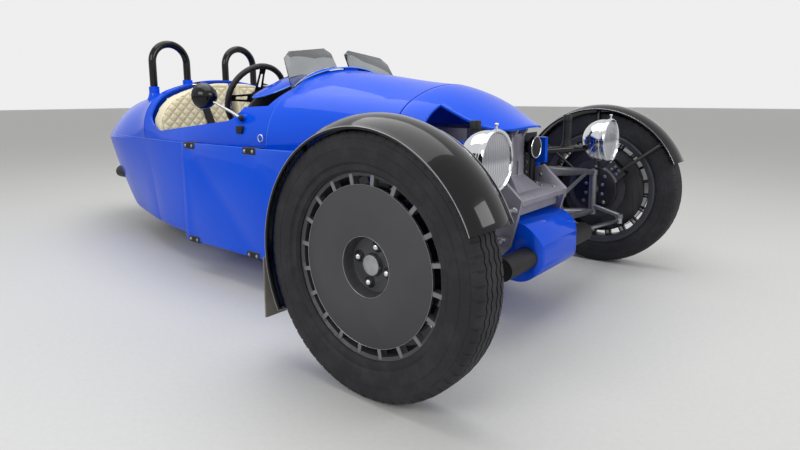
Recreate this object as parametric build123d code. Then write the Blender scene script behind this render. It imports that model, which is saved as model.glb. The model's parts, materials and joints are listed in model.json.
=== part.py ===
"""Three-wheeled open sports car: two steered front wheels, one driven rear wheel.

Millimetres. +Z is up, -Y is forward and +X is the car's left. While it is drawn, the origin
lies on the ground under the front axle. On export the car is moved along Y, so that the
origin of the written parts is the middle of the bottom of its bounding box.
"""
import os
from math import asin, cos, radians, sin, sqrt

from build123d import *

# Driving dimensions
LENGTH = 3581
WHEELBASE = 2440
FRONT_TRACK = 1700
GAP = 5              # between panels and things that move past each other
SEAT_GAP = 0.3       # between a piece and what it rests on
RUNNING = 0.05       # radial, between a shaft and its bore
PAST = 2             # how far a cutting shape runs past what it cuts
WIDE = (-1000, 1000)
TALL = (-10, 1500)

# Front wheels: 20 inch rims with narrow tyres
TYRE_R = 371
TYRE_W = 130
RIM_BEAD_R = 254
RIM_LIP_R = 272
RIM_LIP_X = 49       # lip, outboard of the wheel's middle
RIM_INNER_X = -59
RIM_WALL = 9
LIP_W = 5
DISC_R = 223         # flat cover disc in the rim
DISC_X = 40          # its outer face, outboard of the wheel's middle
DISC_WALL = 7
RIBS = 20
RIB_W = 13
RIB_L = 22
BOWL_R = 83
BOWL_DEPTH = 35
HUB_R = 58
HUB_INNER_X = -34
BOLT_PCD = 108
BOLTS = 4
BOLT_R = 9
CAP_R = 30
AXLE_D = 44
AXLE_END_X = 838
BRAKE_R = 140
BRAKE_W = 12
BRAKE_X = 786
BRAKE_HAT_R = 75
BRAKE_HAT_WALL = 6

# Rear wheel: 15 inch
REAR_TYRE_R = 317
REAR_TYRE_W = 195
REAR_BEAD_R = 188
REAR_LIP_R = 206
REAR_LIP_X = 89.5
REAR_HUB_R = 52
REAR_HUB_HALF = 60
REAR_AXLE_R = 14
PULLEY_R = 118
PULLEY_W = 26
PULLEY_X = 106

# Front wings, which ride on the uprights and turn with the wheels
WING_CROWN_R = 408
WING_INNER_LIP_R = 385
WING_OUTER_LIP_R = 372
WING_INNER_X = 750
WING_OUTER_X = 925
WING_WALL = 4
WING_BEAD_R = 4
WING_FRONT_DEG = 22      # front end, above the axle
WING_REAR_DEG = 30       # rear end, below the axle
STAY_D = 16
STAY_X = 771
STAY_ANGLES = (52, 0, -52)
FLAP_TOP_Z = 330
FLAP_BOTTOM_Z = 135
FLAP_WALL = 6
FLAP_INSET = 14

# Uprights, from the kingpin out to the wheel
KING_X = 740
KING_D = 20
POST_D = 36
UPPER_BALL_Z = 455
LOWER_BALL_Z = 262
EYE_D = 44
EYE_H = 24
PLATE_D = 210
PLATE_X = (756, 768)
STEER_ARM_X = 705
STEER_ARM_Y = -145
STEER_ARM_Z = 252

# Steering
TIE_ROD_D = 18
RACK_Y = -110
RACK_Z = 250
RACK_D = 80
RACK_HALF = 350
RACK_BAR_D = 26
RACK_TRAVEL = 76
WHEEL_RIM_D = 350
WHEEL_GRIP_D = 28
WHEEL_TILT = 22          # of the column, from level
WHEEL_CENTRE = (-225, 1326, 814)
SPOKE_ANGLES = (0, 180, 270)
SHAFT_R = 8

# Body panels
WALL = 12
LID_WALL = 8
BONNET_REAR_Y = 318
BONNET_LIP_Y = -40       # front of the lip's round plan
BONNET_LIP_R = 250
HINGE_Y = 16             # the bonnet's hinge
HINGE_Z = 700
HINGE_R = 6
HINGE_EYE_HALF = 25
HULL_FRONT_Y = 40
EAR_FRONT_Y = 0          # of the hull's front corners
EAR_X = (188, 212)
EAR_Z = (552, 655)
SCUTTLE_REAR_Y = 918
BULKHEAD_Y = 1955
FLOOR_CORNER = 50
LAP = 4                  # how far the cockpit's sides reach down into the hull
SIDE_STEP = 2            # from the hull's faces in to the cockpit sides' faces

FRONT_OVERHANG = WING_CROWN_R * cos(radians(WING_FRONT_DEG))
TAIL_END_Y = LENGTH - FRONT_OVERHANG

# Upper shell's sections: y, top, then the shoulder's x and z, then the edge's x and z
UPPER = [
    (318, 869, 290, 806, 395, 700),
    (700, 917, 340, 826, 460, 645),
    (1075, 957, 395, 832, 510, 612),
    (1500, 952, 400, 815, 514, 610),
    (1955, 915, 335, 858, 474, 600),
]
TAIL = [
    (1955, 915, 335, 858, 474, 600),
    (2200, 877, 288, 819, 446, 594),
    (2450, 841, 232, 789, 408, 586),
    (2700, 813, 162, 762, 326, 574),
    (2900, 771, 107, 731, 236, 561),
    (3080, 702, 63, 678, 151, 548),
    (TAIL_END_Y, 604, 35, 594, 82, 539),
]
# Nose lid's sections, by the same columns
NOSE = [
    (-44, 710, 90, 700, 160, 682),
    (50, 748, 165, 722, 262, 680),
    (150, 802, 232, 765, 345, 690),
    (318, 869, 290, 806, 395, 700),
]
# Lower hull's sections: y, the edge's x and z, then the floor's x and z
LOWER = [
    (40, 240, 640, 190, 160),
    (318, 345, 680, 300, 145),
    (700, 460, 645, 420, 130),
    (1075, 510, 612, 470, 130),
    (1500, 514, 610, 476, 130),
    (1955, 474, 600, 420, 130),
]
TAIL_LOWER = [
    (1955, 474, 600, 420, 130),
    (2200, 446, 594, 364, 130),
    (2450, 408, 586, 294, 130),
    (2700, 326, 574, 212, 130),
    (2900, 236, 561, 140, 130),
    (3080, 151, 548, 88, 130),
    (TAIL_END_Y, 82, 539, 50, 130),
]

# Cast front frame, chin and horn
PILLAR_HALF = 50
PILLAR_Y = 24
CHEEK_X = 178
CHEEK_WALL = 16
SHELF_FRONT = (-98, 457)     # y and z of its upper front edge
SHELF_LIP = 20
SHELF_REAR_Z = 476
CHIN_HALF = 172
CHIN_FRONT_Y = -166
ENGINE_BOTTOM = 167
HORN_X = 94
HORN_Y = 0
HORN_Z = 621
HORN_R = 43
HORN_FOOT_Z = 474

# Suspension links, from the kingpin's balls to the body
LINK_D = 28
BUSH_D = 36
PUSH_D = 16
PUSH_BALL_R = 13
PICKUP_X = 300           # outer face of the rear feet's pads on the hull
FRONT_FOOT_X = CHEEK_X + CHEEK_WALL + SEAT_GAP + BUSH_D / 2
REAR_FOOT_X = PICKUP_X + SEAT_GAP + BUSH_D / 2
# Feet of the wishbones, x, y and z
UPPER_FEET = ((FRONT_FOOT_X, 14, 504), (REAR_FOOT_X, 200, 508))
LOWER_FEET = ((FRONT_FOOT_X, -34, 308), (REAR_FOOT_X, 240, 300))

# Cockpit
TUNNEL_HALF = 85
TUNNEL_TOP = 330
TUNNEL_FRONT_Y = 700
SEAT_BOX_Y = 1480
SEAT_BOX_TOP = 280
CUSHION_TOP = 375
SEAT_REAR_Y = 1940
SEAT_INNER_X = 12
DASH_Y = 1090
DASH_WALL = 15
COWL_R = 660             # of the arched visor over the dashboard
COWL_TOP = 957
COWL_WALL = 5
SCREEN_Y = 905
SCREEN_LEAN = 28

# Side blades, flat plates that stand off the hull
BLADE_X = 545
BLADE_WALL = 5
BLADE_FRONT_Y = 540
BLADE_REAR_Y = 1480
BLADE_BOTTOM = 150
BLADE_TOP = 612
BRACKET_L = 85
BRACKET_H = 30
# Each bracket's y and z, then the x where its pad on the hull begins and ends
BRACKETS = (
    (960, BLADE_TOP - 13, 494, 506), (960, BLADE_BOTTOM + 8, 448, 470),
    (1410, BLADE_TOP - 13, 509, 521), (1410, BLADE_BOTTOM + 8, 464, 486),
)

# Lamps and mirrors
LAMP_R = 91
LAMP_BARREL = 22
LAMP_AT = (486, -154, 630)           # middle of its open front
MIRROR_R = 56
MIRROR_AT = (575, 1216, 823)
MIRROR_BASE = (494, 1075, 730)       # outer face of its pad on the hull
TAIL_LAMP_R = 37
TAIL_LAMP_L = 155
TAIL_LAMP_AT = (270, 2560, 350)      # middle of its front end

# Boot lid and roll hoops
LID_FRONT_Y = 2180
LID_REAR_Y = 2760
LID_HALF = 105
LID_PIN_Y = LID_FRONT_Y - GAP / 2
LID_PIN_Z = 890
LID_PIN_R = 3
BOOT_FLOOR_Z = 668
HOOP_Y = 2103
HOOP_INNER_X = 128
HOOP_OUTER_X = 332
HOOP_D = 40
HOOP_TOP = 1132
HOOP_LEGS = ((HOOP_INNER_X, 915), (HOOP_OUTER_X, 875))   # x, top of the collar
COLLAR_R = 27

# Rear fork
ARM_X = 150
ARM_WALL = 30
ARM_TUBE_D = 50
PIVOT_Z = 300
SILENCER_AT = (255, 260)             # x and z of its axis
SILENCER_D = 110


def box(x, y, z):
    """A block between two values of each of x, y and z."""
    return Pos(x[0], y[0], z[0]) * Box(x[1] - x[0], y[1] - y[0], z[1] - z[0], align=Align.MIN)


def spread(y, z, length, height):
    """The two ranges of a block centred on y and z."""
    return (y - length / 2, y + length / 2), (z - height / 2, z + height / 2)


def rod(start, end, diameter):
    """A round bar between two points."""
    path = Vector(*end) - Vector(*start)
    return extrude(Plane(origin=start, z_dir=path) * Circle(diameter / 2), path.length)


def face_of(lines):
    """The flat face inside a closed run of lines and arcs."""
    return make_face([edge for line in lines for edge in line.edges()])


def side_plate(points, x):
    """A plate with its outline in Y and Z, between two values of x."""
    outline = make_face(Polyline(*[(x[0], y, z) for y, z in points], close=True))
    return extrude(outline, x[1] - x[0], dir=(1, 0, 0))


def pair(shape):
    """A piece and its mirror image on the other side of the car."""
    return Compound(children=[shape, mirror(shape, Plane.YZ)])


def arch_section(row, inset=0, drop=0):
    """One section of an upper shell: a crown arc, two shoulder arcs and a flat underside."""
    y, top, shoulder_x, shoulder_z, edge_x, edge_z = row
    top, shoulder_x, shoulder_z = top - inset, shoulder_x - 0.5 * inset, shoulder_z - 0.9 * inset
    edge_x, edge_z = edge_x - inset, edge_z - drop
    fall = top - shoulder_z
    crown_r = (shoulder_x**2 + fall**2) / (2 * fall)
    left, right = (-shoulder_x, y, shoulder_z), (shoulder_x, y, shoulder_z)
    slope = Vector(crown_r - fall, 0, -shoulder_x)
    crown = ThreePointArc(left, (0, y, top), right)
    right_side = TangentArc(right, (edge_x, y, edge_z), tangent=slope)
    left_side = mirror(right_side, Plane.YZ)
    under = Line((edge_x, y, edge_z), (-edge_x, y, edge_z))
    return face_of([crown, right_side, under, left_side])


def hull_section(row, inset=0, rise=0, drop=0):
    """One section of the lower hull: sloping sides and a flat floor with round corners."""
    y, edge_x, edge_z, floor_x, floor_z = row
    edge_x, floor_x, floor_z = edge_x - inset, floor_x - inset, floor_z + inset - drop
    corner = min(FLOOR_CORNER, floor_x / 2)
    lean = Vector(floor_x - edge_x, 0, floor_z - edge_z)
    turn = Vector(floor_x, y, floor_z) - lean.normalized() * corner
    right = [Line((edge_x, y, edge_z + rise), turn), TangentArc(turn, (floor_x - corner, y, floor_z), tangent=lean)]
    floor = Line((floor_x - corner, y, floor_z), (corner - floor_x, y, floor_z))
    left = [mirror(edge, Plane.YZ) for edge in right]
    top = Line((-edge_x, y, edge_z + rise), (edge_x, y, edge_z + rise))
    return face_of([*right, floor, *left, top])


def lengthened(rows, extra):
    """The same table of sections with its two end sections moved outwards."""
    first, last = rows[0], rows[-1]
    return [(first[0] - extra, *first[1:]), *rows[1:-1], (last[0] + extra, *last[1:])]


def arch_solid(rows):
    return loft([arch_section(row) for row in rows])


def hull_solid(rows):
    return loft([hull_section(row) for row in rows])


def arch_core(rows, inset, drop=PAST):
    """What an upper shell of this wall is hollowed by: it runs past the open ends and edge."""
    return loft([arch_section(row, inset, drop) for row in lengthened(rows, PAST)])


def hull_core(rows, inset, drop=0):
    return loft([hull_section(row, inset, PAST, drop) for row in lengthened(rows, PAST)])


def ring(outer_r, inner_r, x):
    """A round collar about the X axis, between two values of x."""
    faces = Plane.YZ.offset(x[0]) * (Circle(outer_r) - Circle(inner_r))
    return extrude(faces, x[1] - x[0])


upper_outer = arch_solid(UPPER)
upper_inner = arch_core(UPPER, WALL)
tail_outer = arch_solid(TAIL)
tail_inner = arch_core(TAIL, WALL)
nose_outer = arch_solid(NOSE)
lower_outer = hull_solid(LOWER)
lower_inner = hull_core(LOWER, WALL)
tail_lower_outer = hull_solid(TAIL_LOWER)
tail_lower_inner = hull_core(TAIL_LOWER, WALL, 2 * WALL)


def cockpit_cut():
    """Everything above the cockpit's sill, as it is seen from the side."""
    front_y, top = SCUTTLE_REAR_Y - 20, TALL[1]
    outline = [
        Line((front_y, top), (front_y, 892)),
        Line((front_y, 892), (968, 781)),
        Line((968, 781), (1110, 775)),
        ThreePointArc((1110, 775), (1147, 732), (1205, 712)),
        Line((1205, 712), (1735, 655)),
        ThreePointArc((1735, 655), (1846, 668), (1905, 718)),
        Line((1905, 718), (1943, 905)),
        Line((1943, 905), (1943, top)),
        Line((1943, top), (front_y, top)),
    ]
    face = Plane.YZ.offset(WIDE[0]) * face_of(outline)
    return extrude(face, WIDE[1] - WIDE[0])


def hull_pads():
    """Flat pads on one side of the hull: for the links' rear feet, the blade and the mirror."""
    pads = [box((PICKUP_X - 24, PICKUP_X), *spread(y, z, 52, 48)) for x, y, z in (UPPER_FEET[1], LOWER_FEET[1])]
    pads += [box((root_x, pad_x), *spread(y, z, BRACKET_L, BRACKET_H)) for y, z, root_x, pad_x in BRACKETS]
    x, y, z = MIRROR_BASE
    pads.append(rod((x - 26, y, z), (x, y, z), 30))
    pads.append(box(EAR_X, (EAR_FRONT_Y, HULL_FRONT_Y + WALL / 2), EAR_Z))
    return pads + [mirror(pad, Plane.YZ) for pad in pads]


def body_tub():
    """The lower hull with its end walls, cockpit sides, tunnel and seat platform."""
    shell = lower_outer - (lower_inner & box(WIDE, (HULL_FRONT_Y + WALL, BULKHEAD_Y - WALL), TALL))
    lapped = loft([arch_section(row, SIDE_STEP, LAP) for row in UPPER])
    sides = (lapped - cockpit_cut()) & box(WIDE, (SCUTTLE_REAR_Y, BULKHEAD_Y), TALL)
    sides -= arch_core(UPPER, WALL - SIDE_STEP, LAP + PAST)
    in_wall = hull_core(LOWER, WALL / 2)
    floor_z = LOWER[-1][4] + WALL / 2
    rear_y = BULKHEAD_Y - WALL / 2
    tunnel = box((-TUNNEL_HALF, TUNNEL_HALF), (TUNNEL_FRONT_Y, rear_y), (floor_z, TUNNEL_TOP)) & in_wall
    seat_box = box(WIDE, (SEAT_BOX_Y, rear_y), (floor_z, SEAT_BOX_TOP)) & in_wall
    return shell + sides + tunnel + seat_box + hull_pads()


def scuttle():
    return (upper_outer & box(WIDE, (BONNET_REAR_Y, SCUTTLE_REAR_Y), TALL)) - upper_inner - lower_outer


def cowl_roll(radius):
    """The round bar along the car whose upper side is the visor's arch."""
    centre_z = COWL_TOP - COWL_R
    return rod((0, 850, centre_z), (0, 1250, centre_z), 2 * radius)


def dash_cowl():
    """A crescent visor behind the scuttle's edge, held over it by a foot in the middle."""
    front = [(405, 1120), (380, 1012), (300, 922), (0, 893)]
    rear = [(392, 1124), (318, 1092), (215, 1017), (0, 985)]
    right = [
        ThreePointArc(*front[:3]), Line(front[0], rear[0]), ThreePointArc(rear[0], rear[1], rear[2]),
    ]
    left = [mirror(edge, Plane.YZ) for edge in right]
    across = [ThreePointArc(front[2], front[3], (-front[2][0], front[2][1])),
              ThreePointArc(rear[2], rear[3], (-rear[2][0], rear[2][1]))]
    plan = extrude(Pos(0, 0, 700) * face_of([*right, *across, *left]), 500)
    foot = box((-40, 40), (901, SCUTTLE_REAR_Y - 4), (925, COWL_TOP - COWL_WALL / 2)) - arch_core(UPPER, -SEAT_GAP)
    return (plan & (cowl_roll(COWL_R) - cowl_roll(COWL_R - COWL_WALL))) + foot


def dashboard():
    """A flat panel under the visor, with two round dials."""
    panel = box(WIDE, (DASH_Y, DASH_Y + DASH_WALL), (690, 1000)) & arch_core(UPPER, WALL - SIDE_STEP + SEAT_GAP)
    panel &= cowl_roll(COWL_R - COWL_WALL - SEAT_GAP)
    dials = [Plane((x, DASH_Y + DASH_WALL, 800), z_dir=(0, 1, 0)) * Cylinder(
        48, 16, align=(Align.CENTER, Align.CENTER, Align.MIN)) for x in (-62, 62)]
    return panel + dials[0] + dials[1]


def tail_underside():
    """The swept-up outline under the tail, as it is seen from the side."""
    end = TAIL_END_Y + 50
    outline = [
        Line((2340, 131), (2382, 131)),
        ThreePointArc((2382, 131), (2520, 205), (2600, 310)),
        ThreePointArc((2600, 310), (2740, 430), (2912, 480)),
        Line((2912, 480), (end, 474)),
        Line((end, 474), (end, 100)),
        Line((end, 100), (2340, 100)),
        Line((2340, 100), (2340, 131)),
    ]
    face = Plane.YZ.offset(WIDE[0]) * face_of(outline)
    return extrude(face, WIDE[1] - WIDE[0])


def tail_sides():
    """The tail's lower shell, with a notch on each side for its lamp."""
    shell = tail_lower_outer - (tail_lower_inner & box(WIDE, (BULKHEAD_Y, TAIL_END_Y - WALL), TALL))
    x, y, z = TAIL_LAMP_AT
    notch = rod((x, y - SEAT_GAP, z), (x, y + 400, z), 2 * (TAIL_LAMP_R + SEAT_GAP))
    return shell - tail_underside() - notch - mirror(notch, Plane.YZ)


def lid_plan(margin):
    outline = RectangleRounded(2 * (LID_HALF + margin), LID_REAR_Y - LID_FRONT_Y + 2 * margin, 50 + margin)
    return extrude(Pos(0, (LID_FRONT_Y + LID_REAR_Y) / 2, 700) * outline, 400)


def hoop_feet(radius, x, top):
    start = 700
    return Pos(x, HOOP_Y, start) * Cylinder(radius, top - start, align=(Align.CENTER, Align.CENTER, Align.MIN))


def tail_deck():
    hollow = tail_inner & box(WIDE, (BULKHEAD_Y + WALL, TAIL_END_Y - WALL), TALL)
    tray = tail_inner & box(WIDE, (BULKHEAD_Y + WALL, 2960), (BOOT_FLOOR_Z, BOOT_FLOOR_Z + 8))
    shell = tail_outer - hollow - tail_lower_outer - lid_plan(GAP)
    for side in (-1, 1):
        for x, top in HOOP_LEGS:
            shell += hoop_feet(COLLAR_R, side * x, top) - tail_inner
    for x in (13, -23):
        shell += hinge_barrel(x, x + 10, (LID_PIN_Y - 30, LID_PIN_Y - 3))
    shell += rod((-20, LID_PIN_Y, LID_PIN_Z), (20, LID_PIN_Y, LID_PIN_Z), 2 * LID_PIN_R)
    return shell + tray


def hinge_barrel(x_from, x_to, leaf_y):
    """One knuckle of the boot lid's hinge, with a short leaf down into its own panel."""
    barrel = rod((x_from, LID_PIN_Y, LID_PIN_Z), (x_to, LID_PIN_Y, LID_PIN_Z), 4 * LID_PIN_R)
    leaf = box((x_from, x_to), (min(leaf_y), max(leaf_y)), (LID_PIN_Z - 18, LID_PIN_Z - 2))
    return barrel + leaf


def boot_lid():
    """A long rounded lid with its hinge knuckle above its front edge."""
    knuckle = hinge_barrel(-12, 12, (LID_FRONT_Y + 1, LID_FRONT_Y + 26))
    bore = rod((-20, LID_PIN_Y, LID_PIN_Z), (20, LID_PIN_Y, LID_PIN_Z), 2 * (LID_PIN_R + RUNNING))
    bridge = box((-12, 12), (LID_PIN_Y, LID_FRONT_Y + 6), (LID_PIN_Z - 5, LID_PIN_Z))
    return ((tail_outer - tail_inner) & lid_plan(0)) + knuckle + bridge - bore


def bonnet():
    """The nose lid, a thin arch with a round front lip and a hinge eye inside it."""
    shell = nose_outer - arch_core(NOSE, LID_WALL)
    plan = Pos(0, BONNET_LIP_Y + BONNET_LIP_R, 0) * Cylinder(BONNET_LIP_R, 2 * TALL[1])
    plan += box(WIDE, (BONNET_LIP_Y + BONNET_LIP_R, BONNET_REAR_Y), TALL)
    shell = shell & plan & box(WIDE, (BONNET_LIP_Y, BONNET_REAR_Y - GAP), TALL)
    half = HINGE_EYE_HALF
    web = box((-half, half), (HINGE_Y - HINGE_R, HINGE_Y + HINGE_R), (HINGE_Z, HINGE_Z + 60)) & nose_outer
    eye = rod((-half, HINGE_Y, HINGE_Z), (half, HINGE_Y, HINGE_Z), 4 * HINGE_R)
    bore = rod((-half - PAST, HINGE_Y, HINGE_Z), (half + PAST, HINGE_Y, HINGE_Z), 2 * (HINGE_R + RUNNING))
    return shell + web + eye - bore


def front_casting():
    """The cast front frame: a slotted pillar on a shelf, between two full cheek plates."""
    back_y = HULL_FRONT_Y - SEAT_GAP
    front_y, front_z = SHELF_FRONT
    pillar = box((-PILLAR_HALF, PILLAR_HALF), (PILLAR_Y, back_y), (SHELF_REAR_Z - 8, HINGE_Z - 22))
    slot = box((-9, 9), (PILLAR_Y - 1, PILLAR_Y + 8), (516, 573))
    foot = loft([
        Plane((0, PILLAR_Y + 8, 520)) * Rectangle(2 * PILLAR_HALF, 16),
        Plane((0, PILLAR_Y - 22, front_z + 4)) * Rectangle(190, 76),
    ])
    shelf = side_plate([(front_y, front_z - SHELF_LIP), (front_y, front_z), (back_y, SHELF_REAR_Z),
                        (back_y, SHELF_REAR_Z - SHELF_LIP)], (-CHEEK_X, CHEEK_X))
    cheek = side_plate([SHELF_FRONT, (-55, 283), (-17, 244), (back_y, 244), (back_y, 530), (0, 545)],
                       (CHEEK_X, CHEEK_X + CHEEK_WALL))
    ear = side_plate([
        (HINGE_Y - 10, HINGE_Z - 10), (HINGE_Y - 10, HINGE_Z + 6), (HINGE_Y + 8, HINGE_Z + 8),
        (back_y, HINGE_Z - 6), (back_y, HINGE_Z - 40), (PILLAR_Y, HINGE_Z - 40)], (30, 44))
    pin = rod((-40, HINGE_Y, HINGE_Z), (40, HINGE_Y, HINGE_Z), 2 * HINGE_R)
    sides = [cheek, mirror(cheek, Plane.YZ), ear, mirror(ear, Plane.YZ)]
    return (pillar - slot + foot + shelf + sides + pin) - box(WIDE, (back_y, 200), TALL)


def chin():
    """The rounded lower nose, with a hole right through for the steering rack."""
    back_y = HULL_FRONT_Y - SEAT_GAP
    profile = [
        Line((back_y, 158), (-60, 158)),
        ThreePointArc((-60, 158), (-132, 178), (CHIN_FRONT_Y, 232)),
        Line((CHIN_FRONT_Y, 232), (CHIN_FRONT_Y, 272)),
        ThreePointArc((CHIN_FRONT_Y, 272), (-142, 336), (-90, 372)),
        Line((-90, 372), (back_y, 392)),
        Line((back_y, 392), (back_y, 158)),
    ]
    solid = extrude(Plane.YZ.offset(-CHIN_HALF) * face_of(profile), 2 * CHIN_HALF)
    length = 400
    plan = Pos(0, length / 2 + CHIN_FRONT_Y, 0) * RectangleRounded(2 * CHIN_HALF, length, 40)
    solid = solid & extrude(plan, 500)
    return solid - rod((-500, RACK_Y, RACK_Z), (500, RACK_Y, RACK_Z), RACK_D + 2 * SEAT_GAP)


def engine_block():
    """The engine as one plain mass on the floor behind the front wall."""
    return box((-150, 150), (160, 640), (ENGINE_BOTTOM, 700))


def horn():
    """A round horn on a stalk from the frame's shelf."""
    trumpet = Plane((HORN_X, HORN_Y, HORN_Z), z_dir=(0, -1, 0)) * (
        Cylinder(HORN_R, 14) + Pos(0, 0, -20) * Cone(22, HORN_R - 8, 26))
    stalk = rod((HORN_X, HORN_Y + 14, HORN_Z - 10), (HORN_X, HORN_Y + 14, HORN_FOOT_Z), 12)
    return trumpet + stalk


def wishbones():
    """Each side's upper and lower wishbone, with a rod from the upper one to the frame."""
    bones = []
    for z, feet in ((UPPER_BALL_Z, UPPER_FEET), (LOWER_BALL_Z, LOWER_FEET)):
        ball = (KING_X, 0, z)
        bone = Pos(ball) * Cylinder(EYE_D / 2, EYE_H)
        for x, y, foot_z in feet:
            bone += rod(ball, (x, y, foot_z), LINK_D) + rod((x, y - 20, foot_z), (x, y + 20, foot_z), BUSH_D)
        bone -= Pos(ball) * Cylinder(KING_D / 2 + RUNNING, 80)
        for side in (-1, 1):
            bone -= Pos(KING_X, 0, z + side * (EYE_H / 2 + 30)) * Cylinder(EYE_D, 60)
        bones.append(bone)
    inner = (CHEEK_X + CHEEK_WALL + SEAT_GAP + PUSH_BALL_R, -76, 424)
    bones[0] += rod((655, 2, UPPER_BALL_Z + 6), inner, PUSH_D) + Pos(inner) * Sphere(PUSH_BALL_R)
    return Compound(children=[pair(bone) for bone in bones])


def upright():
    """The steered upright: kingpin, stub axle, steering arm, brake caliper and wing stays."""
    low, high = LOWER_BALL_Z + EYE_H / 2 + SEAT_GAP, UPPER_BALL_Z - EYE_H / 2 - SEAT_GAP
    outer = rod((PLATE_X[0], 0, TYRE_R), (PLATE_X[1], 0, TYRE_R), PLATE_D)
    for angle in STAY_ANGLES:
        stay = rod((STAY_X, 0, 60), (STAY_X, 0, WING_INNER_LIP_R + 2), STAY_D)
        outer += Pos(0, 0, TYRE_R) * Rot(X=angle) * stay
    for ball_z in (LOWER_BALL_Z, UPPER_BALL_Z):
        outer -= Pos(KING_X, 0, ball_z) * Cylinder(EYE_D / 2 + GAP, EYE_H + 2 * GAP)
    post = rod((KING_X, 0, low), (KING_X, 0, high), POST_D)
    post += rod((KING_X, 0, LOWER_BALL_Z - 16), (KING_X, 0, UPPER_BALL_Z + 16), KING_D)
    post += rod((KING_X, 0, TYRE_R), (AXLE_END_X, 0, TYRE_R), AXLE_D)
    post += rod((KING_X, 0, low + 16), (STEER_ARM_X, STEER_ARM_Y, STEER_ARM_Z + 12), 22)
    post += Pos(STEER_ARM_X, STEER_ARM_Y, STEER_ARM_Z + 9) * Cylinder(18, 18)
    caliper = box((PLATE_X[1] - 4, 812), (-45, 45), (92, BRAKE_R + 22))
    caliper -= box((BRAKE_X - GAP, BRAKE_X + BRAKE_W + GAP), (-46, 46), (80, BRAKE_R + GAP))
    return post + outer + Pos(0, 0, TYRE_R) * Rot(X=45) * caliper - wing()


def wing():
    """A thin arched mudguard over the tyre, revolved about the axle, with rolled edges."""
    middle_x = (WING_INNER_X + WING_OUTER_X) / 2
    inner, outer = (WING_INNER_X, WING_INNER_LIP_R), (WING_OUTER_X, WING_OUTER_LIP_R)
    under = [(inner[0] + WING_WALL, inner[1] - 1), (middle_x, WING_CROWN_R - WING_WALL), (outer[0] - WING_WALL, outer[1] - 1)]
    skin = face_of([
        ThreePointArc(inner, (middle_x, WING_CROWN_R), outer),
        Line(outer, under[2]),
        ThreePointArc(under[2], under[1], under[0]),
        Line(under[0], inner),
    ])
    section = skin + Pos(*inner) * Circle(WING_BEAD_R) + Pos(*outer) * Circle(WING_BEAD_R)
    arc = WING_REAR_DEG + 180 - WING_FRONT_DEG
    rolled = revolve(Plane.XZ * section, Axis.X, arc)
    return Pos(0, 0, TYRE_R) * Rot(X=-(90 + WING_REAR_DEG)) * rolled


def mudflap():
    """A flat rubber flap that hangs behind the tyre from the wing's rear."""
    drop = TYRE_R - FLAP_TOP_Z
    front_y = sqrt(WING_CROWN_R**2 - drop**2) + SEAT_GAP
    return box((WING_INNER_X + FLAP_INSET, WING_OUTER_X - FLAP_INSET), (front_y, front_y + FLAP_WALL),
               (FLAP_BOTTOM_Z, FLAP_TOP_Z))


def polygon(*points):
    return make_face(Polyline(*points, close=True))


def turned(face):
    """A profile of x and radius, turned about the X axis."""
    return revolve(face, Axis.X)


def front_rim():
    """A deep rim behind a flat cover disc, with a ring of slots between short ribs."""
    lip_in, well_r = RIM_LIP_X - LIP_W, RIM_BEAD_R - RIM_WALL
    inner_in = RIM_INNER_X + LIP_W
    well = polygon(
        (RIM_LIP_X, RIM_LIP_R), (lip_in, RIM_LIP_R), (lip_in - 5, RIM_BEAD_R),
        (inner_in + 4, RIM_BEAD_R), (inner_in, RIM_LIP_R), (RIM_INNER_X, RIM_LIP_R), (RIM_INNER_X, RIM_LIP_R - 6),
        (inner_in + 2, well_r), (lip_in - 8, well_r), (lip_in, RIM_LIP_R - 10), (RIM_LIP_X, RIM_LIP_R - 6))
    bowl_x = DISC_X - BOWL_DEPTH
    bore_r = AXLE_D / 2 + RUNNING
    cover = polygon(
        (DISC_X, DISC_R), (DISC_X, BOWL_R), (bowl_x, BOWL_R - 8), (bowl_x, 0), (bowl_x - DISC_WALL, 0),
        (bowl_x - DISC_WALL, bore_r), (HUB_INNER_X, bore_r), (HUB_INNER_X, HUB_R), (bowl_x - 2 * DISC_WALL, HUB_R),
        (bowl_x - DISC_WALL, BOWL_R + 2), (DISC_X - DISC_WALL, BOWL_R + 10), (DISC_X - DISC_WALL, DISC_R))
    rim = turned(well) + turned(cover)
    rib = box((DISC_X - 2 - RIB_L, DISC_X - 2), (-RIB_W / 2, RIB_W / 2), (DISC_R - 3, well_r + 3))
    rim += [Rot(X=360 / RIBS * index) * rib for index in range(RIBS)]
    for index in range(BOLTS):
        bolt = rod((bowl_x - 1, 0, BOLT_PCD / 2), (bowl_x + 10, 0, BOLT_PCD / 2), 2 * BOLT_R)
        rim += Rot(X=360 / BOLTS * (index + 0.5)) * bolt
    rim += rod((bowl_x - 1, 0, 0), (bowl_x + 14, 0, 0), 2 * CAP_R)
    return Pos(FRONT_TRACK / 2, 0, TYRE_R) * rim


def tyre(radius, width, lip_x, lip_r, bead_r):
    """A tyre turned from straight lines: tread, shoulders, side walls and beads inside the lips."""
    half = width / 2
    side = [
        (half - 26, radius), (half - 10, radius - 8), (half - 3, radius - 26), (half, (radius - 26 + bead_r) / 2),
        (half - 5, lip_r + 1), (lip_x, lip_r + 1), (lip_x - 6, bead_r + SEAT_GAP),
    ]
    return turned(polygon(*side, *[(-x, r) for x, r in reversed(side)]))


def front_tyre():
    solid = tyre(TYRE_R, TYRE_W, RIM_LIP_X - LIP_W, RIM_LIP_R, RIM_BEAD_R)
    return Pos(FRONT_TRACK / 2, 0, TYRE_R) * solid


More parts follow.
